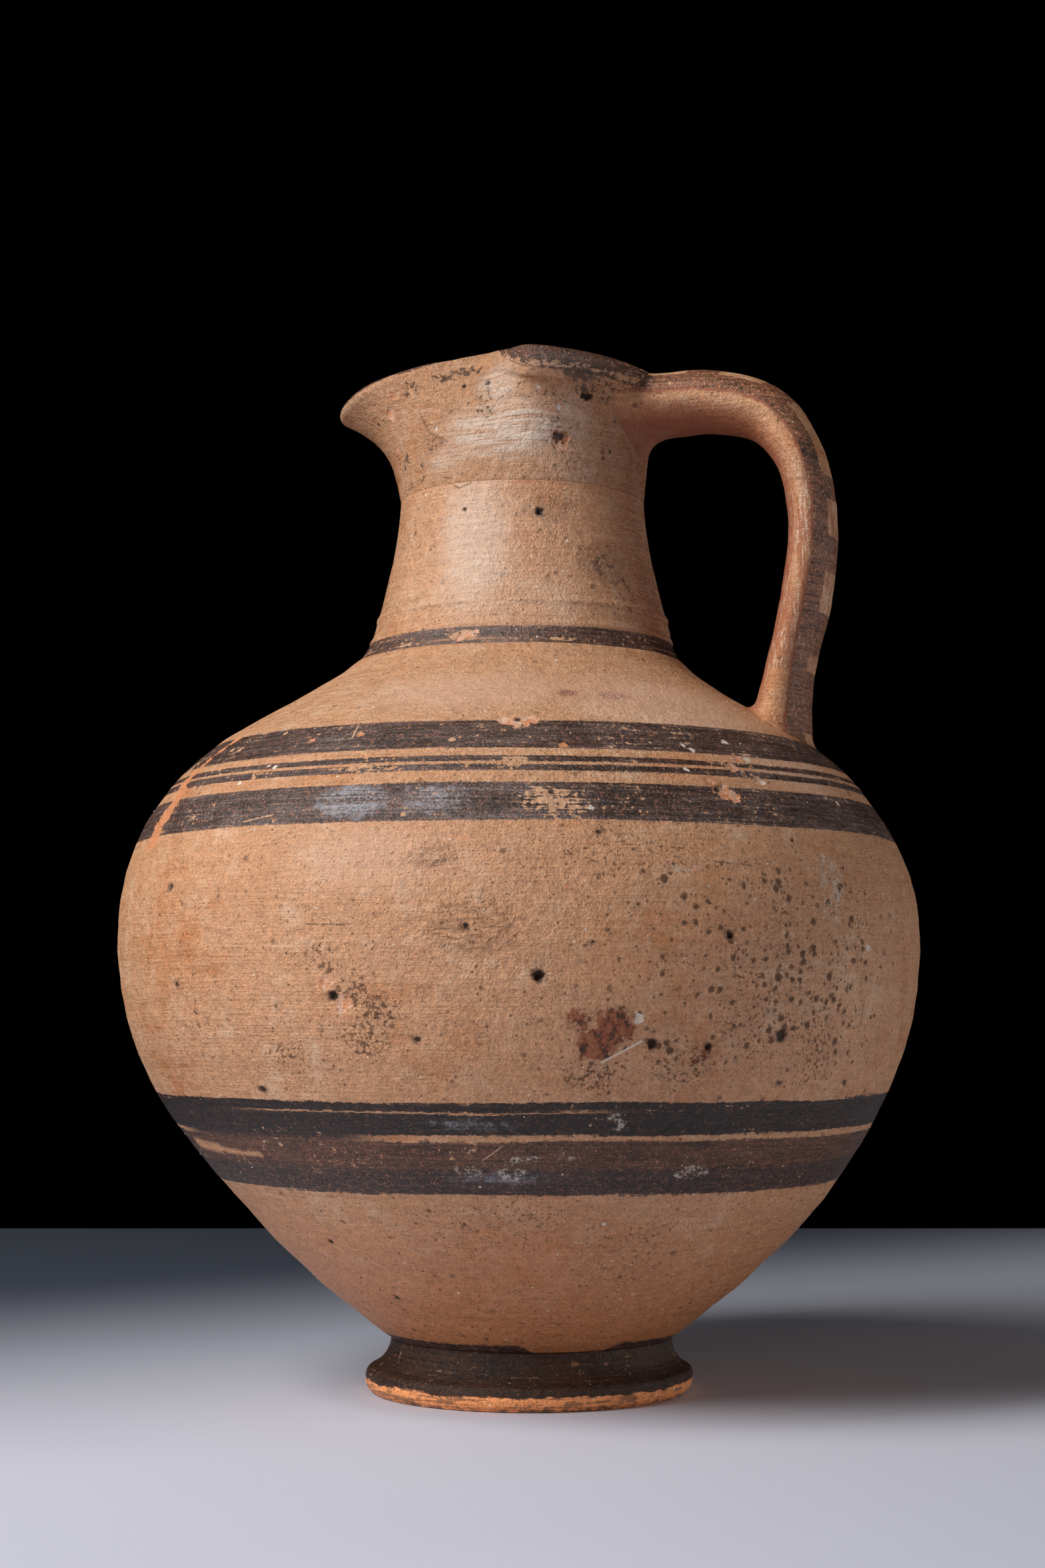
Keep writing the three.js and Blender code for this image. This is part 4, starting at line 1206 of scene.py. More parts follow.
def mouth_finish(surface):
    """Smoothed clay with a dark lip, worn on its edges and missing at the pinches."""
    colours = jug("colours")
    finish = Finish("mouth_clay")
    # Painted sheen: a little tan over all of the mouth's clay.
    fired_clay(
        finish, seed=70, painted_pale_sheen=0.05, rough=1.6, spotted=finish.soft_patch("film", 0.8) * 0.75)
    turned_away = finish.math("ABSOLUTE", finish.angle)
    width = finish.levels(turned_away, 0.0, 180.0, [(at, w / 10) for at, w in LIP_PAINT]) * 10.0
    down = finish.kept("from_lip")
    waver = finish.ragged * 1.6 + finish.crumbly * 0.8
    outside = finish.fade(down + waver - width, 0.25, -0.25) * finish.fade(down, -0.5, 0.0)
    inside = finish.fade(down + waver, *PAINTED_INSIDE) * finish.fade(down, 0.3, -0.3)
    edge = finish.math("ABSOLUTE", down + finish.ragged * 3.0 - 4.2)
    edge = finish.fade(edge, 1.5, 0.3) * outside
    burnished = finish.noise(0.8, detail=2, roughness=0.6, stretch=(14, 14, 0.6), seed=74)
    # Painted highlight: the mouth's pale patches are laid lighter, most along the burnishing
    # streaks.
    rubbed = finish.fade(burnished, 0.42, 0.58) * 0.55 + 0.3
    finish.lay(finish.soft_patch("pale", 0.5, 0.9) * rubbed, colours.clay_highlight)
    finish.lay(finish.patch("film", rough=2.6, low=0.3, high=0.8) * 0.2, colours.stain)
    there = paint_over(
        finish, finish.most(outside, inside), brown=0.85, worn=edge * 0.2 + 0.03, seed=7)
    bitten = finish.fade(finish.noise(5, detail=3, roughness=0.65, seed=75), 0.46, 0.58)
    finish.lay(edge * (1.0 - there) * bitten * 0.85, colours.clay_pale)
    blot = finish.noise(1.5, detail=5, roughness=0.75, seed=73) + finish.kept("soot") * 0.24
    crust = finish.fade(blot, 0.66, 0.72)
    finish.lay(crust * 0.85, colours.soot)
    finish.relief += crust * finish.crumbly * 0.6
    mark_colours(finish)
    # Painted glints: bright burnished streaks laid in the gloss patches, which also lower the
    # roughness.
    glint_patch = finish.patch("gloss", rough=0.4, low=0.1, high=0.9)
    finish.lay(glint_patch * finish.fade(burnished, 0.53, 0.60) * 0.6, colours.clay_highlight)
    finish.gloss -= glint_patch * finish.fade(burnished, 0.46, 0.6) * 0.18 + 0.14
    finish.relief += finish.patch("gloss", low=0.1, high=0.9) * burnished * 0.8
    groove = finish.lines(surface, MOUTH_GROOVES)
    finish.lay(groove * 0.4, colours.stain)
    finish.relief -= groove * 0.5
    return finish.close(glint=0.7)


def foot_finish():
    """Dark slip down to a reserved line of bare clay at the resting edge."""
    colours = jug("colours")
    finish = Finish("foot_clay")
    # The foot's clay is laid redder and darker, partly as painted shade under the belly.
    fired_clay(finish, seed=90, warm=0.9, rough=0.8)
    waver = (finish.noise(12, detail=3, roughness=0.6, seed=91) - 0.5) * 2.6 + finish.ragged * 1.6
    cover = finish.fade(finish.z + waver, *FOOT_BARE_LINE)
    smear = finish.noise(1.4, detail=3, roughness=0.65, stretch=(9, 9, 0.6), seed=93)
    finish.lay(finish.fade(smear + finish.ragged * 0.6, 0.51, 0.60) * 0.65, colours.soot)
    thin = finish.fade(finish.noise(9, detail=4, seed=92), 0.42, 0.58)
    # The foot is darker along its lowest two millimetres, at the table.
    bottom_edge_dark = finish.fade(finish.z, 1.8, 0.2) * finish.fade(finish.ragged, -0.1, 0.1)
    finish.lay(bottom_edge_dark * 0.7, colours.soot)
    there = paint_over(finish, cover, brown=thin * 0.4 + 0.6, sheen=0.15, seed=9)
    rub = finish.fade(finish.noise(7, detail=5, roughness=0.75, seed=94), 0.46, 0.60)
    finish.lay(rub * there * 0.65, colours.stain)
    # Painted shade in part: the foot's slip is darkened as if in the belly's shadow, and its bare
    # line lightened.
    finish.shade = finish.dim(finish.shade, 2.1 - cover * 1.55 - there * 0.2)
    finish.gloss += 0.12
    return finish.close()


def handle_finish():
    """Smoothed clay with a dark stripe along each edge of the strap and short bars between them."""
    colours = jug("colours")
    finish = Finish("handle_clay")
    fired_clay(finish, seed=110, rough=0.8)
    streak = finish.noise(0.9, detail=4, roughness=0.7, stretch=(1, 1, 14), seed=111)
    wash = finish.noise(5, detail=3, roughness=0.6, stretch=(1, 1, 3), seed=113)
    strap = finish.fade(finish.z, *STREAKS_IN) * finish.fade(finish.z, *STREAKS_OUT)
    fold, along = finish.kept("fold"), finish.kept("along")
    crazed = finish.noise(0.7, detail=4, roughness=0.75, stretch=(1, 1, 3.5), seed=114)
    washed = finish.fade(streak * 0.4 + crazed * 0.2 + wash * 0.4, 0.45, 0.52) * strap
    finish.lay(washed * 0.9, colours.rust_pale)
    finish.lay(finish.fade(streak * 0.5 + crazed * 0.5, 0.48, 0.41) * strap * 0.6, colours.lime)
    # Rust on the strap's underside and inner face: partly the strap's own red-brown, partly painted
    # shadow of the mouth.
    finish.lay(finish.fade(fold + finish.ragged * 0.2, 0.50, 0.80) * 0.68, colours.rust)
    finish.relief += (streak - 0.5) * strap * 0.35
    shift = finish.fade(along, 62, 18) * 0.10 - finish.fade(finish.z, 206, 184) * 0.05
    wander = (finish.noise(9, detail=3, roughness=0.6, seed=112) - 0.5) * 0.08
    wander = wander + finish.ragged * 0.05
    edge = fold + wander - shift
    bars = finish.most(
        finish.bands(finish.z + wander * 20, STRAP_BARS, 0.3) * finish.fade(finish.z, 246, 245),
        finish.bands(along + wander * 20, ARM_BARS, 0.3))
    cover = finish.most(
        finish.window(edge, *EDGE_STRIPE, 0.008), bars * finish.fade(edge, 0.2, 0.17))
    finish.lay(finish.window(edge, *RUSTY_LINE, 0.02) * 0.8, colours.rust)
    there = paint_over(finish, cover, brown=0.9, seed=11)
    finish.shade = finish.dim(finish.shade, 1.0 + there * 0.75)
    return finish.close()


def grain_finish():
    """Pale lime temper and a few dark grains."""
    colours = jug("colours")
    finish = Finish("temper")
    kind = finish.noise(5, detail=1, seed=130)
    finish.shade = finish.ramp(
        kind, [(0.42, colours.soot), (0.48, colours.clay_red), (0.58, colours.lime)])
    finish.relief = finish.noise(0.3, detail=2, seed=131) * 0.04
    finish.gloss = finish.fade(kind, 0.3, 0.7) * 0.1 + 0.6
    return finish.close()


def table_finish(back, right):
    """A pale table top that falls off into the dark behind the jug."""
    stage = jug("stage")
    finish = Finish("table_top")
    weave = finish.noise(1.2, detail=3, seed=200)
    cloud = finish.noise(90, detail=2, seed=201)
    depth, sideways = (finish.vector("DOT_PRODUCT", finish.place, way) for way in (back, right))
    far = finish.fade(depth - sideways * 0.8, -60.0, 420.0)
    finish.shade = finish.dim(
        finish.blend(far, stage.floor, stage.floor_far), cloud * 0.06 + 0.97)
    finish.relief = weave * 0.03
    finish.gloss = finish.fade(weave, 0.2, 0.8) * 0.1 + 0.55
    return finish.close()


# The members of the jug

# Points along each outline outside and inside, and round the rim
BODY_STEPS, NECK_STEPS, MOUTH_STEPS = (168, 34), (92, 30), (74, 52)
RIM_STEPS = 400
# How far each member runs on into its neighbour
FOOT_INTO_BODY, BODY_INTO_NECK, NECK_INTO_BODY, NECK_INTO_MOUTH, MOUTH_INTO_NECK = (
    0.4 * MM, 0.15 * MM, 0.6 * MM, 0.35 * MM, 0.5 * MM)
# Shares of the wall under which the inside begins, and what is added for the body's chips
BODY_INSIDE, NECK_INSIDE = 0.55, 0.6
CHIP_ROOM = 2.2 * MM


def settle(piece, node, materials):
    """Gives a finished piece its materials and its place in the frame."""
    piece.data.materials.clear()
    for material in materials:
        piece.data.materials.append(material)
    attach(piece, BODY)
    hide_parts(node)


def mark_inside(piece, outline, depth, floor=0.0):
    """Gives the faces that lie deeper than that under the outline the second material."""
    faces = piece.data.polygons
    flat = np.empty(len(faces) * 3)
    faces.foreach_get("center", flat)
    centres = flat.reshape(-1, 3)
    outer = np.interp(centres[:, 2], outline[:, 1], outline[:, 0])
    inside = np.hypot(centres[:, 0], centres[:, 1]) < outer - depth
    faces.foreach_set("material_index", (inside & (centres[:, 2] > floor)).astype(np.int32))


def arc_between(start, corner, end, count):
    """A quarter-round run between two points, bent towards a corner."""
    share = np.linspace(0, 1, count)[:, None]
    start, corner, end = (np.array(point) for point in (start, corner, end))
    return (1 - share) ** 2 * start + 2 * (1 - share) * share * corner + share**2 * end


def make_foot():
    """The foot ring, from its inner resting edge outwards, up and back down inside."""
    shape = jug("shape")
    rest, flare, waist = shape.foot_rest_radius, shape.foot_flare_radius, shape.foot_waist_radius
    top = BODY_LOW.z + FOOT_INTO_BODY
    inner_rest, inner_top = rest - shape.foot_rest_width, waist - shape.foot_ring_width
    widest = shape.foot_flare_height
    edge, bend = 0.6 * MM, MM
    low, high = (rest + edge / 2, edge + 0.1 * MM), (flare - bend, widest * 1.5)
    run = np.vstack([
        arc_between((inner_rest, edge), (inner_rest, 0), (inner_rest + edge, 0), 4),
        arc_between((rest - bend, 0), (rest, 0), low, 5),
        arc_between(low, (flare, widest * 0.3), (flare, widest), 14),
        arc_between((flare, widest), (flare, widest * 1.35), high, 8),
        arc_between(high, (waist, top * 0.62), (waist, top), 26),
        arc_between((inner_top, top), (inner_top + edge, top * 0.4), (inner_rest, edge), 18),
    ])
    keep = np.r_[True, np.linalg.norm(np.diff(run, axis=0), axis=1) > SAME / 10]
    piece = turned("foot_ring", run[keep][:-1], jug("hand").around)
    throw(piece, "foot_clay", seed=1, calm=0.5)
    settle(piece, "foot", [foot_finish()])


def make_body():
    """The body: its base, outer wall, rim, inner wall and floor, turned and then marked."""
    shape = jug("shape")
    hand = jug("hand")
    steps_outside, steps_inside = BODY_STEPS
    outline = evenly(body_outline(), steps_outside)
    hole = shape.neck_base_radius - shape.neck_wall
    floor = BODY_LOW.z + shape.body_floor
    inside = offset(body_outline(), -shape.body_wall)
    inside = inside[(inside[:, 1] > floor + 2 * MM) & (inside[:, 0] > hole + MM)]
    inside = evenly(inside, steps_inside)[::-1]
    rim_height = BODY_HIGH.z + BODY_INTO_NECK
    base = np.linspace((0, BODY_LOW.z), outline[0], 6)[:-1]
    lip = np.array([(hole + 2 * MM, rim_height), (hole, rim_height), (hole, inside[0][1] + MM)])
    corner = inside[-1]
    well = np.linspace((corner[0] - (corner[1] - floor), floor), (0, floor), 6)
    piece = turned("jug_body", np.vstack([base, outline, lip, inside, well]), hand.around)
    throw(piece, "body_clay", seed=2)
    surface = wear(piece, BODY_MARKS, BODY_STREWN, BODY_PATCHES, hand.seed)
    mark_inside(piece, outline, BODY_INSIDE * shape.body_wall + CHIP_ROOM, floor - MM)
    settle(piece, "body", [body_finish(surface), inside_finish()])


def make_neck():
    """The neck, whose two ends run on a little into the body and the mouth."""
    shape = jug("shape")
    steps_outside, steps_inside = NECK_STEPS
    bottom, top = NECK_LOW.z - NECK_INTO_BODY, NECK_HIGH.z + NECK_INTO_MOUTH
    outline = evenly(neck_outline(), steps_outside)
    outline = np.vstack([
        (outline[0][0] + 0.1 * MM, bottom), outline, (outline[-1][0] - 0.3 * MM, top)])
    inside = evenly(offset(neck_outline(), -shape.neck_wall), steps_inside)[::-1]
    inside[0] = (shape.neck_top_radius - shape.neck_wall, top)
    inside[-1] = (shape.neck_base_radius - shape.neck_wall, bottom)
    piece = turned("jug_neck", np.vstack([outline, inside]), jug("hand").around)
    throw(piece, "neck_clay", seed=3, calm=0.6)
    first_seed = jug("hand").seed + len(BODY_STREWN)
    surface = wear(piece, NECK_MARKS, NECK_STREWN, NECK_PATCHES, first_seed)
    mark_inside(piece, outline, NECK_INSIDE * shape.neck_wall)
    settle(piece, "neck", [neck_finish(surface), inside_finish()])


def smooth_run(points, closed, per_span):
    """A smooth curve through points, evenly loose in narrow and wide spans."""
    points = np.asarray(points, float)
    if closed:
        ring = np.vstack([points[-1], points, points[0], points[1]])
    else:
        ring = np.vstack([2 * points[0] - points[1], points, 2 * points[-1] - points[-2]])
    spans = len(ring) - 3
    share = np.linspace(0, 1, per_span, endpoint=False)[:, None]
    runs = []
    for j in range(spans):
        p0, p1, p2, p3 = ring[j:j + 4]
        d0, d1, d2 = (math.sqrt(np.linalg.norm(b - a)) for a, b in ((p0, p1), (p1, p2), (p2, p3)))
        leave = ((p1 - p0) / d0 - (p2 - p0) / (d0 + d1) + (p2 - p1) / d1) * d1
        arrive = ((p2 - p1) / d1 - (p3 - p1) / (d1 + d2) + (p3 - p2) / d2) * d1
        runs.append(
            (2 * share**3 - 3 * share**2 + 1) * p1 + (share**3 - 2 * share**2 + share) * leave
            + (3 * share**2 - 2 * share**3) * p2 + (share**3 - share**2) * arrive)
    run = np.vstack(runs)
    return run if closed else np.vstack([run, points[-1]])


def rim_line(count):
    """The rim seen from above, with its heights, evenly spaced from the handle side round."""
    shape = jug("shape")
    crest = MOUTH_HIGH.z
    pinch_forward = -3 * MM
    half = [
        (shape.handle_side_reach, 0, crest - 4.6 * MM),
        (shape.handle_side_reach * 0.79, shape.lobe_reach * 0.66, crest - 3.8 * MM),
        (shape.lobe_forward, shape.lobe_reach, crest - 2.8 * MM),
        ((shape.lobe_forward + pinch_forward) * 0.42, (shape.lobe_reach + shape.pinch_reach) * 0.49,
         crest - 1.2 * MM),
        (pinch_forward, shape.pinch_reach, crest),
        (-shape.spout_reach * 0.4, shape.spout_half_width, crest - 1.4 * MM),
        (-shape.spout_reach * 0.76, shape.spout_half_width * 0.76, crest - 4.4 * MM),
        (-shape.spout_reach, 0, crest - 6.7 * MM),
    ]
    mirrored = [(x, -y, z) for x, y, z in half[-2:0:-1]]
    line = smooth_run(half + mirrored, closed=True, per_span=40)
    closed = evenly(np.vstack([line, line[:1]]), count + 1)
    return closed[:-1]


def ease(value, low, high):
    """0 under the low value and 1 over the high one, eased."""
    share = np.clip((value - low) / (high - low), 0, 1)
    return share * share * (3 - 2 * share)


# How far the lip of the side lobes stands out over the wall under it
LIP_LEDGE = 0.9 * MM
# Where the wall thickens to the lip, as shares of its height: at the spout, at the side lobes,
# and where the ledge starts
SPOUT_SWELL, LOBE_SWELL, LEDGE_START = (0.84, 0.97), (0.862, 0.880), (0.862, 0.876)
# How the mouth's wall leaves the neck: its first slope, and how late the flare comes
FLARE_START, FLARE_POWER = 0.38, 4


def mouth_ring(line, share, side, turn=0.0):
    """A ring of the mouth's wall, from the neck at share 0 to the lip at 1, outside or inside."""
    shape = jug("shape")
    lip_half = shape.lip_thickness / 2
    neck_radius = shape.neck_top_radius - shape.mouth_wall / 2
    angle = np.arctan2(line[:, 1], line[:, 0])
    spout = ease(-line[:, 0], 2 * MM, 16 * MM)
    lip_here = lip_half + (shape.spout_lip / 2 - lip_half) * spout
    lobe = ease(line[:, 0], -2 * MM, 7 * MM)
    swell = ease(share, *SPOUT_SWELL) * (1 - lobe) + ease(share, *LOBE_SWELL) * lobe
    half = shape.mouth_wall / 2 + (lip_here - shape.mouth_wall / 2) * swell
    if side > 0:
        ledge = ease(share, *LEDGE_START) * ease(1.06 - share, 0, 0.1) * math.cos(turn) ** 2
        half = half + LIP_LEDGE * ledge * lobe
    spread = np.hypot(line[:, 0], line[:, 1]) - lip_half - neck_radius
    rise = line[:, 2] - lip_half - MOUTH_LOW.z
    late = (1 - FLARE_START) * share ** (FLARE_POWER - 1)
    flare = (FLARE_START + late) * share
    slope = spread * (FLARE_START + late * FLARE_POWER)
    lean = np.arctan2(slope, rise) * min(share * 12, 1)
    out = lean - turn
    reach = neck_radius + spread * flare + side * half * np.cos(out)
    height = MOUTH_LOW.z + rise * share - side * half * np.sin(out)
    return np.stack([reach * np.cos(angle), reach * np.sin(angle), height], axis=1)


def make_mouth():
    """The mouth: up its outer wall, over the rolled lip and down its inner wall."""
    line = rim_line(RIM_STEPS)
    base = mouth_ring(line, 0.0, 1) * (0.99, 0.99, 1) - np.array([0, 0, MOUTH_INTO_NECK])
    outer_shares, inner_shares = (np.linspace(0, 1, count) for count in MOUTH_STEPS)
    turns = np.radians(np.linspace(15, 165, 11))
    rings = [base] + [mouth_ring(line, s, 1) for s in outer_shares]
    rings += [mouth_ring(line, 1.0, 1, t) for t in turns]
    rings += [mouth_ring(line, s, -1) for s in inner_shares[::-1]]
    piece = skin("jug_mouth", [handmade(ring) for ring in rings], looped=True)
    lengths = np.cumsum([0] + [
        np.linalg.norm(b - a, axis=1).mean() for a, b in zip(rings, rings[1:])]) / MM
    crown = lengths[1 + len(outer_shares) + len(turns) // 2]
    from_lip = np.repeat(crown - lengths, len(line))
    keep_values(piece.data, "from_lip", from_lip)
    throw(piece, "mouth_clay", seed=4, calm=0.5)
    first_seed = jug("hand").seed + len(BODY_STREWN) + len(NECK_STREWN)
    surface = wear(piece, MOUTH_MARKS, MOUTH_STREWN, MOUTH_PATCHES, first_seed)
    settle(piece, "mouth", [mouth_finish(surface)])


def handle_stations():
    """Middle line and half section of the strap: x, z, half thickness, half width."""
    shape = jug("shape")
    arm = MOUTH_HIGH.z - shape.handle_arm_drop
    outline = body_outline()
    above = outline[outline[:, 1] > shape.belly_height][::-1]
    root = np.interp(shape.handle_root_radius, above[:, 0], above[:, 1])
    reach, arm_thick = shape.handle_reach, shape.arm_thickness
    thick, wide = shape.strap_thickness, shape.strap_width

    def drop(share):
        return arm + (root - arm) * share

    rows = [
        (shape.handle_side_reach - 8 * MM, arm - 0.2 * MM, arm_thick * 1.02, wide * 1.25),
        (shape.handle_side_reach + 2 * MM, arm, arm_thick, wide * 1.12),
        (reach * 0.66, arm, arm_thick, wide * 1.05),
        (reach * 0.85, drop(0.055), arm_thick * 0.93, wide),
        (reach * 0.958, drop(0.19), thick, wide * 0.98),
        (reach, drop(0.4), thick * 0.96, wide * 0.97),
        (reach * 0.975, drop(0.62), thick * 0.98, wide),
        (reach * 0.928, drop(0.84), thick * 0.92, wide * 1.05),
        (shape.handle_root_radius, root - 6 * MM, thick * 1.3, wide * 1.12),
    ]
    return np.array([(x, z, t / 2, w / 2) for x, z, t, w in rows])


# The strap leans with the shoulder at its root and is true at the mouth
STRAP_LEAN_HEIGHTS, STRAP_LEAN = (175 * MM, 205 * MM), (-1.2 * MM, 0.0)
# Points round the strap, rings along it and rings of each fillet
HANDLE_AROUND = 96
STRAP_SPANS = 150
FILLET_RINGS = 9
# Radius of the clay worked into each joint, in millimetres: on top, and what is added underneath
MOUTH_FILLET, BODY_FILLET = (1.2, 5.0), (2.2, 1.6)
# Shares of the way from a fillet's edge to its middle at which rings close it
CLOSING = (0.75, 0.5, 0.25)
# How deep a fillet's edge, the ring behind it and its closing rings lie under the wall's skin
EDGE_DEEP, BEHIND_DEEP, CLOSED_DEEP = 0.12 * MM, 0.8 * MM, 1.2 * MM


def fillet_reach(fold, on_top, underneath):
    """Radius of the clay worked into the joint: wide underneath, small on top."""
    return (on_top + underneath * ease(fold, 0.25, 0.9)) * MM


def root_rings(stringers, surface, order, reaches):
    """Rings that flare from the strap onto the wall, then close under the wall's skin."""
    hits, starts = [], []
    for stringer, reach in zip(stringers, reaches):
        path = stringer[order]
        best, best_gap, start_index = 0, math.inf, None
        for index, point in enumerate(path):
            place, normal, _, gap = surface.find_nearest(Vector(point))
            inside = (Vector(point) - place).dot(normal) < 0
            if start_index is None and (gap < reach or inside):
                start_index = max(index - 1, 0)
            if gap < best_gap:
                best, best_gap = index, gap
            if inside:
                best = index
                break
        place = surface.find_nearest(Vector(path[best]))[0]
        hits.append(np.array(place))
        starts.append(path[start_index if start_index is not None else max(best - 1, 0)])
    hits, starts = np.array(hits), np.array(starts)
    middle = hits.mean(axis=0)
    feet, sunk = [], []
    for hit, reach in zip(hits, reaches):
        normal = surface.find_nearest(Vector(hit))[1]
        outward = Vector(hit - middle)
        outward -= normal * outward.dot(normal)
        place, normal, _, _ = surface.find_nearest(Vector(hit) + outward.normalized() * reach)
        feet.append(np.array(place - normal * EDGE_DEEP))
        sunk.append(np.array(place - normal * BEHIND_DEEP))
    feet, sunk = np.array(feet), np.array(sunk)
    share = np.linspace(0, 1, FILLET_RINGS)
    rings = [(1 - s) ** 2 * starts + 2 * (1 - s) * s * hits + s**2 * feet for s in share]
    closing = [sunk]
    for s in CLOSING:
        ring = []
        for foot in feet:
            place, normal, _, _ = surface.find_nearest(Vector(middle + (foot - middle) * s))
            ring.append(np.array(place - normal * CLOSED_DEEP))
        closing.append(np.array(ring))
    place, normal, _, _ = surface.find_nearest(Vector(middle))
    return rings + closing, np.array(place - normal * CLOSED_DEEP)


def make_handle(body, mouth):
    """The strap, luted to the finished mouth and body by fillets of clay."""
    stations = handle_stations()
    run = smooth_run(stations, closed=False, per_span=48)
    middle = run[:, :2]
    along = np.gradient(middle, axis=0)
    along /= np.linalg.norm(along, axis=1)[:, None]
    turn = np.linspace(0, 2 * math.pi, HANDLE_AROUND, endpoint=False)
    fold = 1 - np.abs(turn / math.pi - 1)
    stringers = []
    for angle in turn:
        across, sideways = run[:, 2] * math.cos(angle), run[:, 3] * math.sin(angle)
        x = middle[:, 0] - along[:, 1] * across
        z = middle[:, 1] + along[:, 0] * across
        stringers.append(np.stack([x, sideways, z], axis=1))
    stringers = [handmade(s, STRAP_LEAN_HEIGHTS, STRAP_LEAN) for s in stringers]
    count = len(run)
    half = count // 2
    up_rings, up_pole = root_rings(
        stringers, surface_of(mouth), np.arange(half, -1, -1), fillet_reach(fold, *MOUTH_FILLET))
    down_rings, down_pole = root_rings(
        stringers, surface_of(body), np.arange(half, count), fillet_reach(fold, *BODY_FILLET))
    upper, lower = up_rings[0], down_rings[0]
    tracks = []
    for k, stringer in enumerate(stringers):
        first = np.argmin(np.linalg.norm(stringer[:half] - upper[k], axis=1))
        last = half + np.argmin(np.linalg.norm(stringer[half:] - lower[k], axis=1))
        wanted = np.linspace(first, last, STRAP_SPANS)
        index = np.arange(count)
        columns = [np.interp(wanted, index, column) for column in stringer.T]
        tracks.append(np.stack(columns, axis=1))
    tracks = np.array(tracks)
    strap = [tracks[:, j] for j in range(1, STRAP_SPANS - 1)]
    rings = up_rings[::-1] + strap + down_rings
    piece = skin("strap_handle", rings, poles=(up_pole, down_pole))
    folds = np.tile(fold, len(rings))
    middles = np.array([ring.mean(axis=0) for ring in rings])
    travelled = np.r_[0, np.cumsum(np.linalg.norm(np.diff(middles, axis=0), axis=1))] / MM
    travel = np.repeat(travelled, HANDLE_AROUND)
    for name, values in (("fold", folds), ("along", travel)):
        keep_values(piece.data, name, np.r_[values, values[0], values[-1]])
    face_out(piece)
    throw(piece, "handle_clay", seed=5, calm=0.8)
    settle(piece, "handle", [handle_finish()])


def face_out(piece):
    """Turns the faces of a closed mesh to the outside."""
    graph = bmesh.new()
    graph.from_mesh(piece.data)
    bmesh.ops.recalc_face_normals(graph, faces=graph.faces)
    graph.to_mesh(piece.data)
    graph.free()
    piece.data.shade_smooth()


def make_grains():
    """Temper grains on the outer walls of body and neck."""
    hand = jug("hand")
    sources = [bpy.data.objects[name] for name in ("jug_body", "jug_neck")]
    graph = bmesh.new()
    for source in sources:
        graph.from_mesh(source.data)
    mesh = bpy.data.meshes.new("temper_grains")
    inner = [f for f in graph.faces if f.material_index == 1]
    bmesh.ops.delete(graph, geom=inner, context="FACES")
    graph.to_mesh(mesh)
    graph.free()
    piece = new_object("temper_grains", mesh)
    run_tree(piece, grain_tree(), {
        "Density": hand.grain_density, "Radius": hand.grain_radius, "Seed": hand.seed,
        "Material": grain_finish()})
    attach(piece, BODY)


# Stage

# The table: how far it reaches to the front and to each side, how thick it is and its bevel
TABLE_FRONT, TABLE_SIDE, TABLE_THICK, TABLE_BEVEL = -2.4, 2.4, 0.03, 0.002
# Lamps: name, its power's name, angle from the camera, elevation, distance, width, height, light
LAMPS = (
    ("key_lamp", "key_power", -54, 37, 1.15, 0.45, 0.9, (1.0, 0.985, 0.96)),
    ("fill_lamp", "fill_power", 88, 5, 1.4, 1.3, 0.48, (1.0, 0.95, 0.9)),
)
# What the lamps shine at
AIM = Vector((0, 0, 0.14))


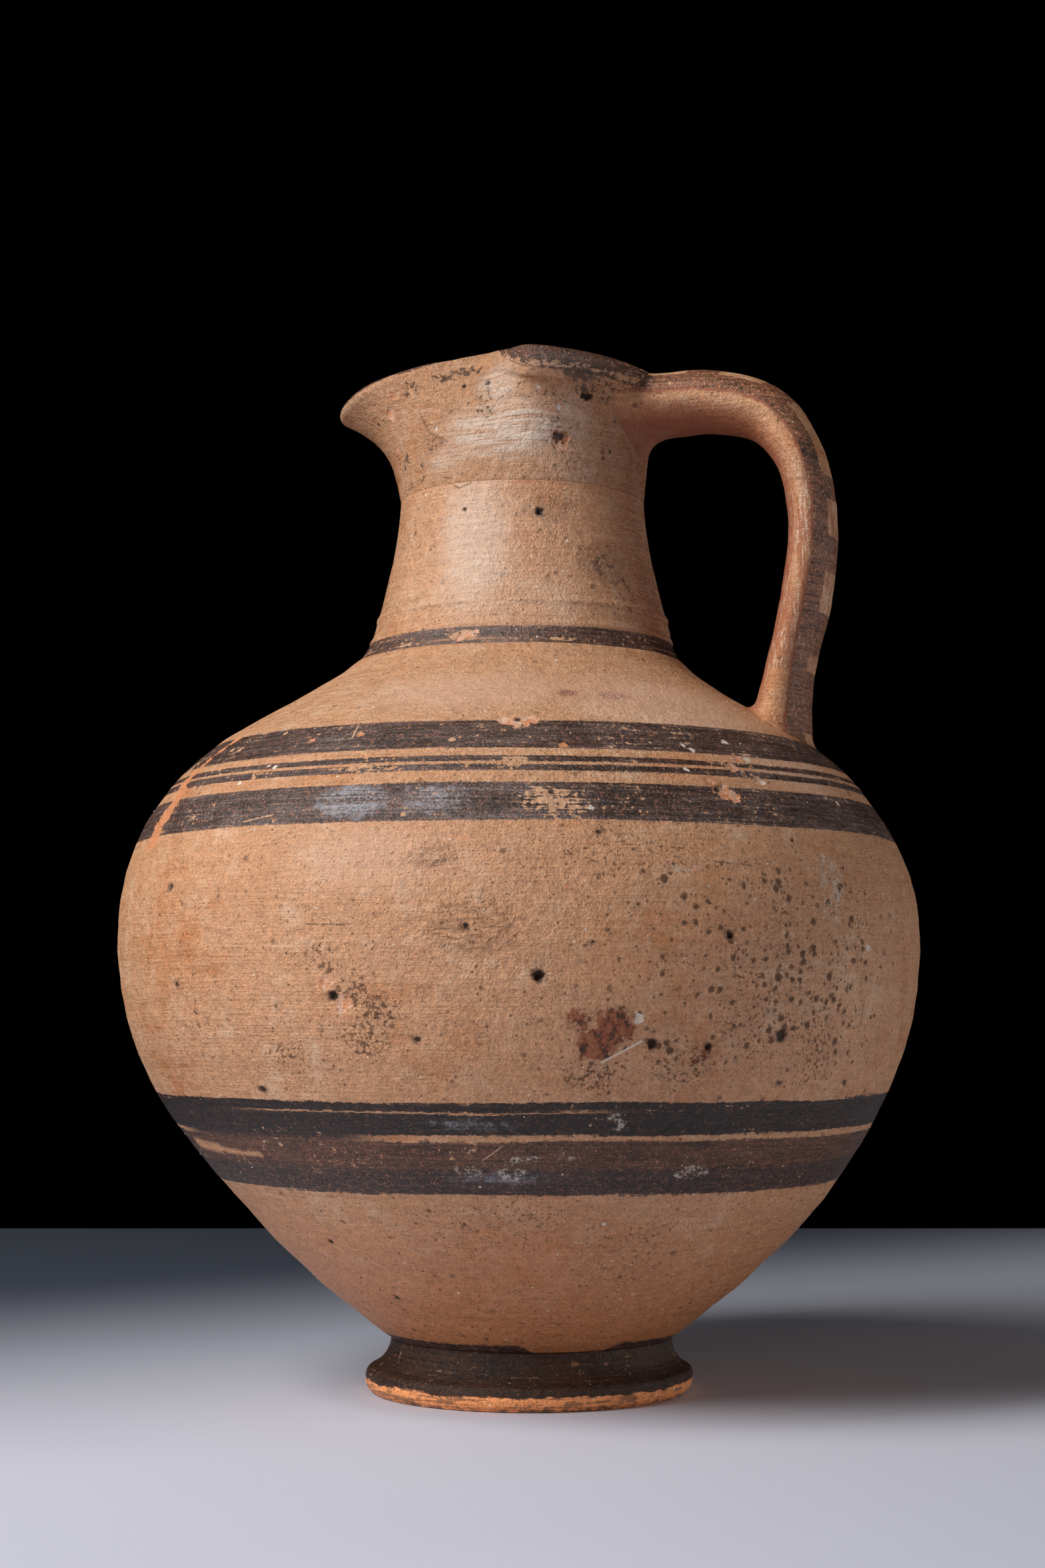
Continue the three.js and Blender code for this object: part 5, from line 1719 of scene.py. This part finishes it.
def make_stage():
    """Table, lamps, room light and camera."""
    stage = jug("stage")
    turn = stage.camera_turn
    right = Vector((math.cos(turn), math.sin(turn), 0))
    back = Vector((-math.sin(turn), math.cos(turn), 0))

    graph = bmesh.new()
    corners = [
        right * x + back * y for x, y in (
            (-TABLE_SIDE, TABLE_FRONT), (TABLE_SIDE, TABLE_FRONT),
            (TABLE_SIDE, stage.table_depth), (-TABLE_SIDE, stage.table_depth))]
    top = [graph.verts.new(corner) for corner in corners]
    bottom = [graph.verts.new(corner - Vector((0, 0, TABLE_THICK))) for corner in corners]
    graph.faces.new(top)
    graph.faces.new(bottom[::-1])
    for j in range(4):
        k = (j + 1) % 4
        graph.faces.new((top[j], bottom[j], bottom[k], top[k]))
    bmesh.ops.bevel(graph, geom=graph.edges[:], offset=TABLE_BEVEL, segments=3, affect="EDGES")
    mesh = bpy.data.meshes.new("table")
    graph.to_mesh(mesh)
    graph.free()
    mesh.materials.append(table_finish(back, right))
    table = new_object("table", mesh)

    for name, power, azimuth, elevation, distance, width, height, shade in LAMPS:
        around, above = math.radians(azimuth), math.radians(elevation)
        place = (right * math.sin(around) - back * math.cos(around)) * math.cos(above) * distance
        place += AIM + Vector((0, 0, math.sin(above) * distance))
        light = bpy.data.lights.new(name, "AREA")
        light.shape = "RECTANGLE"
        light.size, light.size_y = width, height
        light.energy = getattr(stage, power)
        light.color = shade
        lamp = new_object(name, light)
        lamp.location = place
        lamp.visible_camera = False
        lamp.rotation_euler = (AIM - place).to_track_quat("-Z", "Y").to_euler()

    world = bpy.data.worlds.new("room")
    bpy.context.scene.world = world
    world.use_nodes = True
    room = Graph(world.node_tree)
    background = world.node_tree.nodes["Background"]
    ray = room.node("ShaderNodeLightPath").outputs
    mirrored = room.math("MAXIMUM", ray["Is Glossy Ray"], ray["Is Transmission Ray"])
    seen = room.math("MAXIMUM", ray["Is Camera Ray"], mirrored)
    level, beyond = (stage.ambient,) * 3 + (1,), tuple(stage.backdrop) + (1,)
    mixed = room.node("ShaderNodeMix", {0: seen, 6: level, 7: beyond}, data_type="RGBA")
    room.feed(background.inputs["Color"], mixed.outputs[2])

    camera = new_object("camera", bpy.data.cameras.new("camera"))
    camera.data.lens = stage.lens
    camera.location = -back * stage.camera_distance + Vector((0, 0, stage.camera_height))
    camera.rotation_euler = (math.pi / 2 + stage.camera_pitch, 0, turn)
    bpy.context.scene.camera = camera
    bpy.context.scene.view_settings.view_transform = "Standard"


# Operators and panel


class OINOCHOE_OT_foot(bpy.types.Operator):
    """Make the foot ring"""

    bl_idname = "oinochoe.foot"
    bl_label = "Foot ring"

    def execute(self, context):
        make_foot()
        return {"FINISHED"}


class OINOCHOE_OT_body(bpy.types.Operator):
    """Make the body with its painted bands"""

    bl_idname = "oinochoe.body"
    bl_label = "Body"

    def execute(self, context):
        make_body()
        return {"FINISHED"}


class OINOCHOE_OT_neck(bpy.types.Operator):
    """Make the neck"""

    bl_idname = "oinochoe.neck"
    bl_label = "Neck"

    def execute(self, context):
        make_neck()
        return {"FINISHED"}


class OINOCHOE_OT_mouth(bpy.types.Operator):
    """Make the pinched mouth"""

    bl_idname = "oinochoe.mouth"
    bl_label = "Mouth"

    def execute(self, context):
        make_mouth()
        return {"FINISHED"}


class OINOCHOE_OT_handle(bpy.types.Operator):
    """Make the strap handle on the mouth and the body"""

    bl_idname = "oinochoe.handle"
    bl_label = "Handle"

    def execute(self, context):
        make_handle(bpy.data.objects["jug_body"], bpy.data.objects["jug_mouth"])
        return {"FINISHED"}


class OINOCHOE_OT_grains(bpy.types.Operator):
    """Scatter the temper grains over body and neck"""

    bl_idname = "oinochoe.grains"
    bl_label = "Temper grains"

    def execute(self, context):
        make_grains()
        return {"FINISHED"}


class OINOCHOE_OT_stage(bpy.types.Operator):
    """Make the table, the lamps and the camera"""

    bl_idname = "oinochoe.stage"
    bl_label = "Stage"

    def execute(self, context):
        make_stage()
        return {"FINISHED"}


OPERATORS = (
    OINOCHOE_OT_foot, OINOCHOE_OT_body, OINOCHOE_OT_neck, OINOCHOE_OT_mouth, OINOCHOE_OT_handle,
    OINOCHOE_OT_grains, OINOCHOE_OT_stage,
)


class OINOCHOE_PT_panel(bpy.types.Panel):
    """Sizes and pieces of the jug"""

    bl_label = "Oinochoe"
    bl_idname = "OINOCHOE_PT_panel"
    bl_space_type = "VIEW_3D"
    bl_region_type = "UI"
    bl_category = "Oinochoe"

    def draw(self, context):
        for part in ("shape", "hand", "colours", "stage"):
            group = getattr(context.scene.oinochoe, part)
            box = self.layout.box()
            box.label(text=part.capitalize())
            for name in group.__annotations__:
                box.prop(group, name)
        for operator in OPERATORS:
            self.layout.operator(operator.bl_idname)


CLASSES = (JugShape, JugHand, JugColours, JugStage, Jug) + OPERATORS + (OINOCHOE_PT_panel,)


def register():
    for cls in CLASSES:
        bpy.utils.register_class(cls)
    bpy.types.Scene.oinochoe = PointerProperty(type=Jug)


def unregister():
    del bpy.types.Scene.oinochoe
    for cls in reversed(CLASSES):
        bpy.utils.unregister_class(cls)


def main():
    register()
    bpy.ops.oinochoe.foot()
    bpy.ops.oinochoe.body()
    bpy.ops.oinochoe.neck()
    bpy.ops.oinochoe.mouth()
    bpy.ops.oinochoe.handle()
    bpy.ops.oinochoe.grains()
    bpy.ops.oinochoe.stage()


if __name__ == "__main__":
    main()
